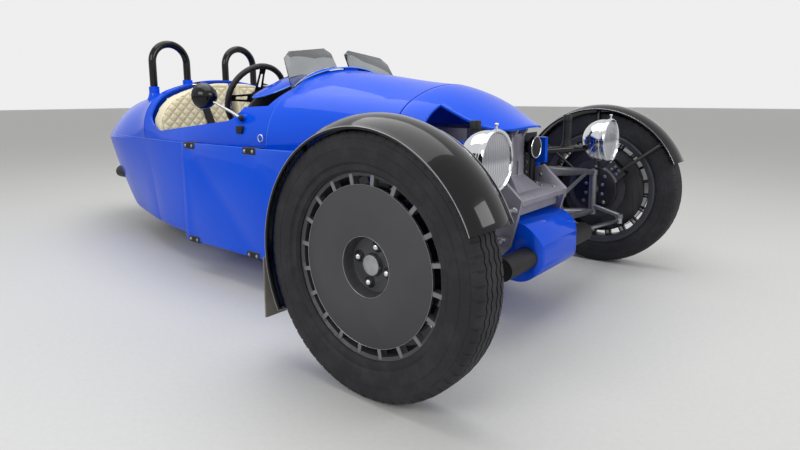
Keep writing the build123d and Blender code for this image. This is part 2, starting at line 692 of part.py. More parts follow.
def brake_disc():
    """A disc with a top hat that bolts against the wheel hub's inner face."""
    hub_x = FRONT_TRACK / 2 + HUB_INNER_X
    hat_inner_r = BRAKE_HAT_R - BRAKE_HAT_WALL
    hat = ring(BRAKE_HAT_R, hat_inner_r, (BRAKE_X, hub_x))
    hat += ring(BRAKE_HAT_R, AXLE_D / 2 + 2, (hub_x - BRAKE_HAT_WALL, hub_x))
    return Pos(0, 0, TYRE_R) * (hat + ring(BRAKE_R, hat_inner_r, (BRAKE_X, BRAKE_X + BRAKE_W)))


def rack_housing():
    tube = rod((-RACK_HALF, RACK_Y, RACK_Z), (RACK_HALF, RACK_Y, RACK_Z), RACK_D)
    return tube - rod((-500, RACK_Y, RACK_Z), (500, RACK_Y, RACK_Z), RACK_BAR_D + 2 * RUNNING)


def tie_rods():
    """The sliding rack bar with a tie rod from each end to just under the steering arm."""
    end_x = RACK_HALF + RACK_TRAVEL + 4
    bar = rod((-end_x, RACK_Y, RACK_Z), (end_x, RACK_Y, RACK_Z), RACK_BAR_D)
    eye_top = STEER_ARM_Z - SEAT_GAP
    eye = Pos(STEER_ARM_X, STEER_ARM_Y, eye_top - 12) * Cylinder(16, 24)
    link = rod((end_x - 6, RACK_Y, RACK_Z), (STEER_ARM_X, STEER_ARM_Y, eye_top - 12), TIE_ROD_D)
    side = eye + link - Pos(STEER_ARM_X, STEER_ARM_Y, eye_top + 20) * Cylinder(40, 40)
    return bar + side + mirror(side, Plane.YZ)


def steering_wheel():
    """A rim, three flat spokes and a bored hub, square to the column."""
    tilt = radians(WHEEL_TILT)
    frame = Plane(WHEEL_CENTRE, x_dir=(1, 0, 0), z_dir=(0, cos(tilt), sin(tilt)))
    ring_r = (WHEEL_RIM_D - WHEEL_GRIP_D) / 2
    wheel = Torus(ring_r, WHEEL_GRIP_D / 2) + Cylinder(34, 24)
    spoke = Pos(ring_r / 2, 0, 0) * Box(ring_r, 30, 5)
    wheel += [Rot(Z=angle) * spoke for angle in SPOKE_ANGLES]
    wheel -= Cylinder(SHAFT_R + RUNNING, 60)
    return frame * wheel


def steering_column():
    tilt = radians(WHEEL_TILT)
    frame = Plane(WHEEL_CENTRE, x_dir=(1, 0, 0), z_dir=(0, cos(tilt), sin(tilt)))
    tube = Pos(0, 0, -24) * Cylinder(24, 300, align=(Align.CENTER, Align.CENTER, Align.MAX))
    shaft = Pos(0, 0, -30) * Cylinder(SHAFT_R, 44, align=(Align.CENTER, Align.CENTER, Align.MIN))
    nut = Pos(0, 0, 12 + SEAT_GAP) * Cylinder(14, 8, align=(Align.CENTER, Align.CENTER, Align.MIN))
    return frame * (tube + shaft + nut) - box(WIDE, (600, DASH_Y + DASH_WALL + SEAT_GAP), TALL)


def seat_back():
    """One side's leaning backrest, which widens above the hull's edge to fill the opening."""
    profile = [(1772, SEAT_BOX_TOP + 100), (1862, SEAT_BOX_TOP + 100), (SEAT_REAR_Y - 14, 905), (1850, 905)]
    reach = (1700, SEAT_REAR_Y)
    low = side_plate(profile, (SEAT_INNER_X, 436)) & box(WIDE, reach, (0, 612))
    high = side_plate(profile, (SEAT_INNER_X, 480)) & box(WIDE, reach, (606, 1000))
    high &= arch_core(UPPER, WALL - SIDE_STEP + SEAT_GAP)
    return low + high


def seat_cushion():
    block = box((TUNNEL_HALF + 8, 430), (SEAT_BOX_Y - 60, 1765), (SEAT_BOX_TOP + SEAT_GAP, CUSHION_TOP))
    return fillet(block.edges().filter_by(Axis.Z), 30)


def side_trims():
    band = hull_core(LOWER, WALL + SEAT_GAP) - hull_core(LOWER, WALL + 18)
    return band & box(WIDE, (1140, 1700), (390, 596))


def blade_brackets():
    bars = [box((pad_x + SEAT_GAP, BLADE_X + BLADE_WALL + 2), *spread(y, z, BRACKET_L, BRACKET_H))
            for y, z, root_x, pad_x in BRACKETS]
    return Compound(children=[pair(bar) for bar in bars])


def side_blade():
    plate = box((BLADE_X, BLADE_X + BLADE_WALL), (BLADE_FRONT_Y, BLADE_REAR_Y), (BLADE_BOTTOM, BLADE_TOP))
    plate = fillet(plate.edges().filter_by(Axis.X), 24)
    for y, z, root_x, pad_x in BRACKETS:
        plate -= box((500, 600), *spread(y, z, BRACKET_L + 2 * SEAT_GAP, BRACKET_H + 2 * SEAT_GAP))
    return plate


def dome(rim_r, rim_y, apex_y):
    """A profile arc from a rim to an apex on the Y axis, with its centre on that axis."""
    rise = apex_y - rim_y
    radius = (rim_r**2 + rise**2) / (2 * rise)
    half = asin(min(1, rim_r / abs(radius))) / 2
    middle = (abs(radius) * sin(half), apex_y - radius + radius * cos(half))
    return ThreePointArc((rim_r, rim_y), middle, (0, apex_y))


def lamp_profile(radius, open_y):
    """A short barrel and a half-round back, as a closed profile about the Y axis."""
    back = face_of([
        Line((0, open_y), (radius, open_y)), Line((radius, open_y), (radius, LAMP_BARREL)),
        dome(radius, LAMP_BARREL, LAMP_BARREL + radius), Line((0, LAMP_BARREL + radius), (0, open_y)),
    ])
    return revolve(back, Axis.Y)


def headlamp_bowl():
    """A deep round bowl with a bezel, open at the front for its glass."""
    bezel = polygon((LAMP_R - 8, 4), (LAMP_R + 3, 4), (LAMP_R + 3, -8), (LAMP_R - 2, -14), (LAMP_R - 8, -14))
    bowl = lamp_profile(LAMP_R, 0) - lamp_profile(LAMP_R - 4, -1)
    return Pos(LAMP_AT) * (bowl + revolve(bezel, Axis.Y))


def headlamp_lens():
    edge = LAMP_R - 8 - SEAT_GAP
    lens = face_of([
        Line((0, -22), (0, -16)), dome(edge, -3, -16), Line((edge, -3), (edge, -9)), dome(edge, -9, -22),
    ])
    return Pos(LAMP_AT) * revolve(lens, Axis.Y)


def headlamp_bracket():
    """An arm from the hull's front corner to the back of the lamp."""
    back_y = HULL_FRONT_Y - SEAT_GAP
    flange_x = (EAR_X[1] + SEAT_GAP, EAR_X[1] + 24)
    arm = rod((LAMP_AT[0] - 30, LAMP_AT[1] + 60, LAMP_AT[2] - 30), (sum(flange_x) / 2, back_y - 12, 596), 26)
    flange = box(flange_x, (back_y - 14, back_y), (566, 626))
    ears = box((EAR_X[0], flange_x[0]), (EAR_FRONT_Y - GAP, HULL_FRONT_Y), TALL)
    return arm + flange - ears - Pos(LAMP_AT) * lamp_profile(LAMP_R + SEAT_GAP, 0)


def mirror_arm():
    """A round door mirror's shell on a thin stem from the body side."""
    shell = Pos(MIRROR_AT) * Rot(X=90) * (Sphere(MIRROR_R) & Pos(0, 0, 100 - 16) * Box(200, 200, 200))
    x, y, z = MIRROR_BASE
    base = rod((x + SEAT_GAP, y, z), (x + 14, y, z), 26)
    stem = rod((x + 7, y, z), (MIRROR_AT[0] - 6, MIRROR_AT[1] - 6, MIRROR_AT[2] - 10), 12)
    return shell + stem + base


def roll_hoop():
    """An upside-down U of tube with a half-round top, its feet on the tail deck's collars."""
    middle, bend = (HOOP_OUTER_X + HOOP_INNER_X) / 2, (HOOP_OUTER_X - HOOP_INNER_X) / 2
    top = HOOP_TOP - HOOP_D / 2
    inner_z, outer_z = (z + SEAT_GAP for x, z in HOOP_LEGS)
    inner, outer = (HOOP_INNER_X, HOOP_Y), (HOOP_OUTER_X, HOOP_Y)
    path = Wire([
        *Line((*inner, inner_z), (*inner, top - bend)).edges(),
        *ThreePointArc((*inner, top - bend), (middle, HOOP_Y, top), (*outer, top - bend)).edges(),
        *Line((*outer, top - bend), (*outer, outer_z)).edges(),
    ])
    return sweep(Plane((*inner, inner_z)) * Circle(HOOP_D / 2), path)


def aero_screen():
    """A small tinted deflector that leans back from the visor."""
    outline = polygon((30, -60), (372, -60), (340, 150), (300, 185), (80, 215), (44, 190))
    lean = radians(SCREEN_LEAN)
    plate = extrude(Plane((0, SCREEN_Y, 850), x_dir=(1, 0, 0), z_dir=(0, -cos(lean), sin(lean))) * outline, COWL_WALL)
    return plate - arch_core(UPPER, -SEAT_GAP) - cowl_roll(COWL_R + SEAT_GAP)


def swing_arm():
    """The rear fork with its cross tube and the wheel's axle."""
    pivot_y = BULKHEAD_Y + ARM_TUBE_D / 2 + SEAT_GAP
    end_x = ARM_X + ARM_WALL
    arm = side_plate([(pivot_y, PIVOT_Z - 24), (pivot_y, PIVOT_Z + 24), (WHEELBASE - 20, REAR_TYRE_R + 30),
                      (WHEELBASE + 26, REAR_TYRE_R + 24), (WHEELBASE + 26, REAR_TYRE_R - 24),
                      (WHEELBASE - 20, REAR_TYRE_R - 30)], (ARM_X, end_x))
    tube = rod((-end_x, pivot_y, PIVOT_Z), (end_x, pivot_y, PIVOT_Z), ARM_TUBE_D)
    axle = rod((-end_x - 14, WHEELBASE, REAR_TYRE_R), (end_x + 14, WHEELBASE, REAR_TYRE_R), 2 * REAR_AXLE_R)
    return tube + arm + mirror(arm, Plane.YZ) + axle


def rear_rim():
    """The rear rim, its hub and the belt pulley that is spaced off the hub's right."""
    half, well_r = REAR_LIP_X, REAR_BEAD_R - 10
    side = [(half - 6, well_r), (half, REAR_LIP_R - 6), (half, REAR_LIP_R), (half - LIP_W, REAR_LIP_R),
            (half - 2 * LIP_W, REAR_BEAD_R)]
    well = polygon(*side, *[(-x, r) for x, r in reversed(side)])
    bore_r = REAR_AXLE_R + RUNNING
    side = [(REAR_HUB_HALF, bore_r), (REAR_HUB_HALF, REAR_HUB_R), (18, REAR_HUB_R + 20), (8, well_r + 4)]
    hub = polygon(*side, *[(-x, r) for x, r in reversed(side)])
    pulley = ring(PULLEY_R, PULLEY_R - 14, (-PULLEY_X - PULLEY_W, -PULLEY_X))
    pulley += ring(PULLEY_R - 10, 30, (-PULLEY_X - 16, -PULLEY_X - 8))
    pulley += ring(40, bore_r, (-PULLEY_X - PULLEY_W, 2 - REAR_HUB_HALF))
    return Pos(0, WHEELBASE, REAR_TYRE_R) * (turned(well) + turned(hub) + pulley)


def rear_tyre():
    solid = tyre(REAR_TYRE_R, REAR_TYRE_W, REAR_LIP_X - LIP_W, REAR_LIP_R, REAR_BEAD_R)
    return Pos(0, WHEELBASE, REAR_TYRE_R) * solid


def tail_lamp():
    """A round lamp pod, set in a notch of the tail side's swept edge."""
    x, y, z = TAIL_LAMP_AT
    return rod((x, y, z), (x, y + TAIL_LAMP_L, z), 2 * TAIL_LAMP_R)


def silencer():
    """A can behind the bulkhead with a thinner outlet."""
    (x, z), front = SILENCER_AT, BULKHEAD_Y + SEAT_GAP
    can = rod((x, front, z), (x, front + 360, z), SILENCER_D)
    return can + rod((x, front + 350, z), (x, front + 520, z), 46)


pieces = {
    "body_tub": body_tub(),
    "scuttle": scuttle(),
    "dash_cowl": dash_cowl(),
    "dashboard": dashboard(),
    "tail_sides": tail_sides(),
    "tail_deck": tail_deck(),
    "boot_lid": boot_lid(),
    "bonnet": bonnet(),
    "front_casting": front_casting(),
    "chin": chin(),
    "engine_block": engine_block(),
    "horn": horn(),
    "wishbones": wishbones(),
    "rack_housing": rack_housing(),
    "tie_rods": tie_rods(),
    "steering_wheel": steering_wheel(),
    "steering_column": steering_column(),
    "seat_backs": pair(seat_back()),
    "seat_cushions": pair(seat_cushion()),
    "side_trims": side_trims(),
    "side_blades": pair(side_blade()),
    "blade_brackets": blade_brackets(),
    "headlamp_bowls": pair(headlamp_bowl()),
    "headlamp_lenses": pair(headlamp_lens()),
    "headlamp_brackets": pair(headlamp_bracket()),
    "mirrors": pair(mirror_arm()),
    "roll_hoops": pair(roll_hoop()),
    "aero_screens": pair(aero_screen()),
    "swing_arm": swing_arm(),
    "rear_rim": rear_rim(),
    "rear_tyre": rear_tyre(),
    "tail_lamps": pair(tail_lamp()),
    "silencer": silencer(),
}
for name, make in (("upright", upright), ("wing", wing), ("mudflap", mudflap), ("front_rim", front_rim),
                   ("front_tyre", front_tyre), ("brake_disc", brake_disc)):
    left = make()
    pieces[name + "_left"] = left
    pieces[name + "_right"] = mirror(left, Plane.YZ)

middle_y = (TAIL_END_Y - FRONT_OVERHANG) / 2
os.makedirs("parts", exist_ok=True)
for name, piece in pieces.items():
    export_step(Pos(0, -middle_y, 0) * piece, f"parts/{name}.step")
print(len(pieces), "parts, moved back by", round(middle_y, 3))
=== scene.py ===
import json
import math

import bpy
import bmesh
from mathutils import Matrix, Vector
from mathutils.bvhtree import BVHTree

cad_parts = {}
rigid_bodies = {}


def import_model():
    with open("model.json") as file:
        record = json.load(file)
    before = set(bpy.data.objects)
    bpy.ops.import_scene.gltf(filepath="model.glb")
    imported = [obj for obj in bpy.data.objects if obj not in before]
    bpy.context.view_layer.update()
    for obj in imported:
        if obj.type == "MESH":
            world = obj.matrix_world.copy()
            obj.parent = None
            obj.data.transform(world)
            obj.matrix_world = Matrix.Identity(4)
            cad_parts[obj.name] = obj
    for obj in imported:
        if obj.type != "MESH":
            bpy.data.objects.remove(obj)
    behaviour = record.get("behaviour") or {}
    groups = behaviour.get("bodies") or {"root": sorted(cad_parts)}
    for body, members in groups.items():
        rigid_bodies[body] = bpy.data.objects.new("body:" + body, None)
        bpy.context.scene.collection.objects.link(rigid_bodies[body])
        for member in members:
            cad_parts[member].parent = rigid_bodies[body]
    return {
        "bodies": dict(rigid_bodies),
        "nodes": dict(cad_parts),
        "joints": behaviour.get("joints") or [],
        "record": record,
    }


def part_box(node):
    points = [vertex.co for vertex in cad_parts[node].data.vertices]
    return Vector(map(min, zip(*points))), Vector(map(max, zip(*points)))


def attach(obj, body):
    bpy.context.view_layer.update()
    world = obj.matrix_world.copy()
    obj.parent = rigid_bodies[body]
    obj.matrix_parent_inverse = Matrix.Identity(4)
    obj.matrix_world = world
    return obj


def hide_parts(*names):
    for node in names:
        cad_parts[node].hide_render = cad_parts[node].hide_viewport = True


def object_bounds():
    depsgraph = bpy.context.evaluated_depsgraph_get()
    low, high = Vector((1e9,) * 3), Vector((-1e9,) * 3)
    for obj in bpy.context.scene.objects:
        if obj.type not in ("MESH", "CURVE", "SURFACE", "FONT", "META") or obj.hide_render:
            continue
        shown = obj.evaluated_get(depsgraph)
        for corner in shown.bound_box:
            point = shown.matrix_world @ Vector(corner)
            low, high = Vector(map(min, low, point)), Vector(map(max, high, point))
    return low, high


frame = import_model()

cadLow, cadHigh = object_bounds()
nodes = frame["nodes"]
sides = {"left": 1, "right": -1}  # the car's left is +X
tau = 2 * math.pi


def evenly(low, high, steps):
    # steps + 1 numbers from low to high
    return [low + (high - low) * i / steps for i in range(steps + 1)]


def added(name, data):
    thing = bpy.data.objects.new(name, data)
    bpy.context.scene.collection.objects.link(thing)
    return thing


class Wire:
    # one output of a node, so that shader maths reads as a sum
    def __init__(self, finish, socket):
        self.finish, self.socket = finish, socket

    def calc(self, operation, first, second=0.0):
        return self.finish.add("ShaderNodeMath", {"operation": operation}, {0: first, 1: second})

    def __add__(self, other):
        return self.calc("ADD", self, other)

    def __mul__(self, other):
        return self.calc("MULTIPLY", self, other)

    __radd__ = __add__
    __rmul__ = __mul__


class Finish:
    # one material: constants go straight onto the shader, the rest is wired
    def __init__(self, name, **constants):
        self.material = bpy.data.materials.new(name)
        self.material.use_nodes = True
        self.tree = self.material.node_tree
        self.shader = self.tree.nodes["Principled BSDF"]
        for key, value in constants.items():
            self.shader.inputs[socketNames[key]].default_value = value

    def add(self, kind, settings=None, sockets=None, output=0):
        node = self.tree.nodes.new(kind)
        for key, value in (settings or {}).items():
            setattr(node, key, value)
        for key, value in (sockets or {}).items():
            self.connect(value, node.inputs[key])
        return Wire(self, node.outputs[output])

    def connect(self, value, socket):
        if isinstance(value, Wire):
            self.tree.links.new(value.socket, socket)
        else:
            socket.default_value = value

    def drive(self, **wires):
        for key, wire in wires.items():
            self.tree.links.new(wire.socket, self.shader.inputs[socketNames[key]])

    def place(self, scale=(1, 1, 1), shift=(0, 0, 0)):
        # object coordinates, scaled and moved
        coords = self.add("ShaderNodeTexCoord", output=3)
        return self.add("ShaderNodeMapping", None, {0: coords, 1: shift, 3: scale})

    def noise(self, scale, detail=3, roughness=0.5, place=None):
        return self.add("ShaderNodeTexNoise", None,
                        {"Vector": place or self.place(), "Scale": scale, "Detail": detail, "Roughness": roughness})

    def cells(self, scale, feature="F1", place=None):
        return self.add("ShaderNodeTexVoronoi", {"feature": feature}, {"Vector": place or self.place(), "Scale": scale})

    def mix(self, factor, first, second):
        return self.add("ShaderNodeMix", {"data_type": "RGBA"}, {0: factor, 6: first, 7: second}, 2)

    def fit(self, wire, low, high, fromLow=0.0, fromHigh=1.0):
        return self.add("ShaderNodeMapRange", None, {0: wire, 1: fromLow, 2: fromHigh, 3: low, 4: high})

    def paintEdgeHighlight(self, color, bright):
        # painted highlight: the eased edges, marked on the mesh, show a lighter line
        edge = self.add("ShaderNodeAttribute", {"attribute_name": "edge"}, None, 2)
        return self.mix(self.fit(edge, 0, 0.85, 0.1, 0.9), color, bright)

    def bump(self, height, strength, distance):
        return self.add("ShaderNodeBump", None, {"Height": height, "Strength": strength, "Distance": distance})


socketNames = {
    "color": "Base Color", "metallic": "Metallic", "roughness": "Roughness", "coat": "Coat Weight",
    "coatRoughness": "Coat Roughness", "ior": "IOR", "transmission": "Transmission Weight", "normal": "Normal",
    "specular": "Specular IOR Level", "sheen": "Sheen Weight",
}


def shade(red, green, blue):
    # a colour as it is seen, 0 to 255, made linear
    return (*[c / 3294.6 if c < 11 else ((c / 255 + 0.055) / 1.055) ** 2.4 for c in (red, green, blue)], 1)


def makeBluePaint():
    # edge is a painted highlight along the eased edges
    look = {"colour": shade(0, 84, 226), "deep": shade(0, 70, 208), "dust": shade(90, 130, 190),
            "edge": shade(120, 176, 255), "peel": 0.05}
    finish = Finish("bluePaint", metallic=0.0, coatRoughness=0.02, ior=1.5, specular=0.05)
    drift = finish.noise(2.2, 2)
    flake = finish.cells(1800)
    base = finish.mix(drift, look["colour"], look["deep"])
    dust = finish.fit(finish.noise(14, 6, 0.65), 0, 0.05, 0.5, 0.8)
    finish.drive(
        color=finish.paintEdgeHighlight(finish.mix(dust, base, look["dust"]), look["edge"]),
        roughness=finish.fit(finish.noise(9, 5), 0.28, 0.36) + dust * 0.6,
        coat=finish.fit(dust, 0.34, 0.3, 0, 0.05),
        normal=finish.bump(finish.noise(260, 2) + flake * 0.1, look["peel"], 0.0004))
    return finish.material


def makeBlackPaint():
    # edge is a painted highlight along the eased edges
    look = {"colour": shade(5, 5, 8), "dust": shade(40, 40, 46), "edge": shade(128, 130, 138), "peel": 0.04}
    finish = Finish("blackPaint", coatRoughness=0.02, ior=1.5, specular=0.1)
    dust = finish.fit(finish.noise(11, 6, 0.7), 0, 0.08, 0.5, 0.85)
    finish.drive(
        color=finish.paintEdgeHighlight(finish.mix(dust, look["colour"], look["dust"]), look["edge"]),
        roughness=finish.fit(finish.noise(7, 5), 0.12, 0.2) + dust,
        coat=finish.fit(dust, 0.5, 0.42, 0, 0.08),
        normal=finish.bump(finish.noise(240, 2), look["peel"], 0.0004))
    return finish.material


def makeTyreRubber():
    look = {"colour": shade(30, 30, 34), "dusty": shade(84, 84, 90), "grain": 0.25}
    finish = Finish("tyreRubber", specular=0.35)
    dust = finish.fit(finish.noise(16, 8, 0.7), 0, 0.35, 0.45, 0.9)
    finish.drive(
        color=finish.mix(dust, look["colour"], look["dusty"]),
        roughness=finish.fit(finish.noise(30, 4), 0.62, 0.8),
        normal=finish.bump(finish.noise(700, 3) + finish.noise(90, 4) * 0.5, look["grain"], 0.0005))
    return finish.material


# metals, plastics and rubbers that differ only in these values; drift is the noise that mixes the two
# tones, share narrows it, dull is a noise of its own for the roughness, bump is strength and distance
# edge, where given, is a painted highlight along the eased edges
plainLooks = {
    "wheelPaint": {"tones": (shade(60, 60, 63), shade(78, 78, 82)), "edge": shade(168, 168, 172), "drift": (6, 4),
                   "metallic": (0.3, 0.45), "dull": (18, 5), "roughness": (0.4, 0.52), "grain": (900, 2),
                   "bump": (0.12, 0.0003), "fixed": {"specular": 0.45}},
    "blackPlastic": {"tones": (shade(18, 18, 20), shade(44, 44, 46)), "edge": shade(92, 92, 96), "drift": (24, 6, 0.7),
                     "share": (0, 0.5, 0.5, 0.9), "roughness": (0.42, 0.6), "cells": 1400, "bump": (0.3, 0.0002),
                     "fixed": {"specular": 0.3}},
    "castAluminium": {"tones": (shade(150, 147, 158), shade(118, 116, 128)), "edge": shade(226, 224, 232),
                      "drift": (12, 6, 0.6), "metallic": (0.25, 0.4), "dull": (20, 5), "roughness": (0.38, 0.5),
                      "grain": (750, 2), "bump": (0.3, 0.0004)},
    "steelTube": {"tones": (shade(134, 134, 142), shade(92, 90, 92)), "drift": (35, 6, 0.7),
                  "share": (0, 0.8, 0.5, 0.85), "metallic": (0.6, 0.75), "coat": (0.3, 0.1), "roughness": (0.26, 0.42),
                  "grain": (420, 2), "bump": (0.15, 0.0003), "fixed": {"coatRoughness": 0.2}},
    "discIron": {"tones": (shade(46, 46, 50), shade(92, 92, 96)), "drift": (28, 5, 0.6), "metallic": (0.5, 0.7),
                 "roughness": (0.4, 0.55), "grain": (300, 3), "bump": (0.25, 0.0003)},
    "brightSteel": {"tones": (shade(186, 188, 190), shade(140, 140, 142)), "drift": (40, 6, 0.6),
                    "roughness": (0.22, 0.38), "grain": (1, 3), "stretch": (30, 900, 900), "bump": (0.2, 0.0002),
                    "fixed": {"metallic": 1.0}},
    "chrome": {"tones": (shade(228, 230, 232), shade(200, 202, 206)), "drift": (18, 5, 0.6),
               "roughness": (0.03, 0.1), "grain": (120, 2), "bump": (0.02, 0.0003), "fixed": {"metallic": 1.0}},
    "tintedScreen": {"tones": (shade(176, 180, 182), shade(150, 154, 158)), "drift": (8, 4),
                     "roughness": (0.01, 0.05), "grain": (60, 2), "bump": (0.02, 0.0004),
                     "fixed": {"transmission": 1.0, "ior": 1.3}},
    "flapRubber": {"tones": (shade(138, 132, 122), shade(104, 99, 92)), "drift": (22, 7, 0.65),
                   "roughness": (0.6, 0.8), "grain": (320, 4), "bump": (0.3, 0.0004), "fixed": {"specular": 0.3}},
    "ribHighlight": {"tones": (shade(136, 136, 142), shade(108, 108, 114)), "drift": (14, 4), "metallic": (0.4, 0.5),
                  "roughness": (0.34, 0.46), "grain": (700, 2), "bump": (0.1, 0.0003), "fixed": {"specular": 0.4}},
    # the joint lines in a lighter blue, a painted highlight
    "seamHighlight": {"tones": (shade(96, 150, 240), shade(40, 90, 190)), "drift": (6, 4), "roughness": (0.3, 0.4),
                  "grain": (200, 2), "bump": (0.05, 0.0002), "fixed": {"specular": 0.3}},
}


def makePlain(name):
    look = plainLooks[name]
    finish = Finish(name, **look.get("fixed", {}))
    drift = finish.noise(*look["drift"])
    share = finish.fit(drift, *look["share"]) if "share" in look else drift
    color = finish.mix(share, *look["tones"])
    # a painted highlight along the eased edges
    if "edge" in look:
        color = finish.paintEdgeHighlight(color, look["edge"])
    for socket in ("metallic", "coat"):
        if socket in look:
            finish.drive(**{socket: finish.fit(drift, *look[socket])})
    dull = finish.noise(*look["dull"]) if "dull" in look else drift
    if "cells" in look:
        grain = finish.cells(look["cells"])
    else:
        grain = finish.noise(*look["grain"], place=finish.place(look.get("stretch", (1, 1, 1))))
    finish.drive(color=color, roughness=finish.fit(dull, *look["roughness"]), normal=finish.bump(grain, *look["bump"]))
    return finish.material


def makeUprightSteel():
    # steel near the hub, black on the wing stays further out and on the plate behind the hub
    look = {"steel": shade(134, 134, 142), "dull": shade(96, 95, 98), "black": shade(14, 14, 16),
            "stays": (0.112, 0.118), "staysOut": (0.760, 0.762), "plate": (0.1045, 0.1055), "plateOut": (0.754, 0.7555)}
    finish = Finish("uprightSteel")
    low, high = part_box("front_rim_left")
    middle = (low + high) / 2
    shifted = finish.place(shift=(0, -middle.y, -middle.z))
    flat = finish.add("ShaderNodeVectorMath", {"operation": "MULTIPLY"}, {0: shifted, 1: (0, 1, 1)})
    reach = finish.add("ShaderNodeVectorMath", {"operation": "LENGTH"}, {0: flat}, "Value")
    across = finish.add("ShaderNodeSeparateXYZ", None, {0: finish.place()}, 0)
    out = finish.add("ShaderNodeMath", {"operation": "ABSOLUTE"}, {0: across})
    black = finish.fit(reach, 0, 1, *look["stays"]) * finish.fit(out, 0, 1, *look["staysOut"])
    plate = finish.fit(reach, 1, 0, *look["plate"]) * finish.fit(out, 0, 1, *look["plateOut"])
    dark = finish.add("ShaderNodeMath", {"operation": "MAXIMUM"}, {0: black, 1: plate})
    wear = finish.noise(35, 6, 0.7)
    steel = finish.mix(wear, look["steel"], look["dull"])
    finish.drive(
        color=finish.mix(dark, steel, look["black"]),
        metallic=finish.fit(dark, 0.6, 0.05),
        roughness=finish.fit(wear, 0.26, 0.42),
        normal=finish.bump(finish.noise(420, 2), 0.15, 0.0003))
    return finish.material


def makeLampGlass():
    # upright flutes, and a painted reflection: greyer across the middle and above, bright below
    look = {"colour": shade(250, 250, 253), "flute": shade(196, 199, 210), "upper": shade(168, 168, 176),
            "middle": 0.630, "flutes": 26.0}
    finish = Finish("lampGlass", transmission=0.55, ior=1.4)
    drift = finish.noise(40, 3)
    flutes = finish.add("ShaderNodeTexWave", {"bands_direction": "X"},
                        {"Vector": finish.place(), "Scale": look["flutes"]}, "Fac")
    height = finish.add("ShaderNodeSeparateXYZ", None, {0: finish.place()}, 2)
    # painted reflection: a grey band across the middle that fades further up
    upper = finish.fit(height, 0, 0.75, look["middle"] - 0.012, look["middle"] + 0.004)
    clear = finish.fit(height, 1, 0.35, look["middle"] + 0.010, look["middle"] + 0.085)
    tone = finish.mix(flutes * 0.8, look["colour"], look["flute"])
    finish.drive(
        color=finish.mix(upper * clear, tone, look["upper"]),
        roughness=finish.fit(drift, 0.02, 0.07),
        normal=finish.bump(flutes, 0.5, 0.001))
    return finish.material


def makeCreamLeather():
    look = {"colour": shade(226, 216, 186), "crease": shade(186, 172, 136), "grain": 0.35}
    finish = Finish("creamLeather", specular=0.35, sheen=0.08)
    pores = finish.cells(420, "DISTANCE_TO_EDGE")
    wear = finish.noise(20, 6, 0.6)
    tone = finish.mix(finish.fit(wear, 0, 0.6, 0.4, 0.8), look["colour"], look["crease"])
    finish.drive(
        color=finish.mix(finish.fit(pores, 0.35, 0, 0, 0.08), tone, look["crease"]),
        roughness=finish.fit(wear, 0.42, 0.6),
        normal=finish.bump(finish.fit(pores, 0, 1, 0, 0.25), look["grain"], 0.0005))
    return finish.material


finishes = {
    "body_paint": makeBluePaint(), "black_paint": makeBlackPaint(), "black_plastic": makePlain("blackPlastic"),
    "cast_aluminium": makePlain("castAluminium"), "steel_tube": makePlain("steelTube"),
    "bright_steel": makePlain("brightSteel"), "cream_leather": makeCreamLeather(), "chrome": makePlain("chrome"),
    "lamp_glass": makeLampGlass(), "tinted_screen": makePlain("tintedScreen"), "wheel_paint": makePlain("wheelPaint"),
    "tyre_rubber": makeTyreRubber(), "flap_rubber": makePlain("flapRubber"),
}
for part in frame["record"]["subparts"]:
    mesh = nodes[part["node"]].data
    mesh.materials.clear()
    mesh.materials.append(finishes[part["material_slot"]])
uprightSteel, discIron = makeUprightSteel(), makePlain("discIron")
for side in sides:
    nodes["brake_disc_" + side].data.materials[0] = discIron
print("finishes on", len(nodes), "CAD nodes")


def makeCamera():
    view = {"at": (-1.9584, -2.4112, 0.8203), "yaw": 51.59, "pitch": -8.86, "roll": -0.12, "lens": 25.54,
            "shift": (-0.0122, -0.0504)}
    camera = added("camera", bpy.data.cameras.new("camera"))
    yaw, pitch = math.radians(view["yaw"]), math.radians(view["pitch"])
    ahead = Vector((math.sin(yaw) * math.cos(pitch), math.cos(yaw) * math.cos(pitch), math.sin(pitch)))
    turn = ahead.to_track_quat("-Z", "Y").to_matrix().to_4x4()
    camera.matrix_world = Matrix.Translation(view["at"]) @ turn @ Matrix.Rotation(math.radians(view["roll"]), 4, "Z")
    camera.data.lens = view["lens"]
    camera.data.sensor_width = 36
    camera.data.shift_x, camera.data.shift_y = view["shift"]
    camera.data.clip_start, camera.data.clip_end = 0.05, 100
    bpy.context.scene.camera = camera


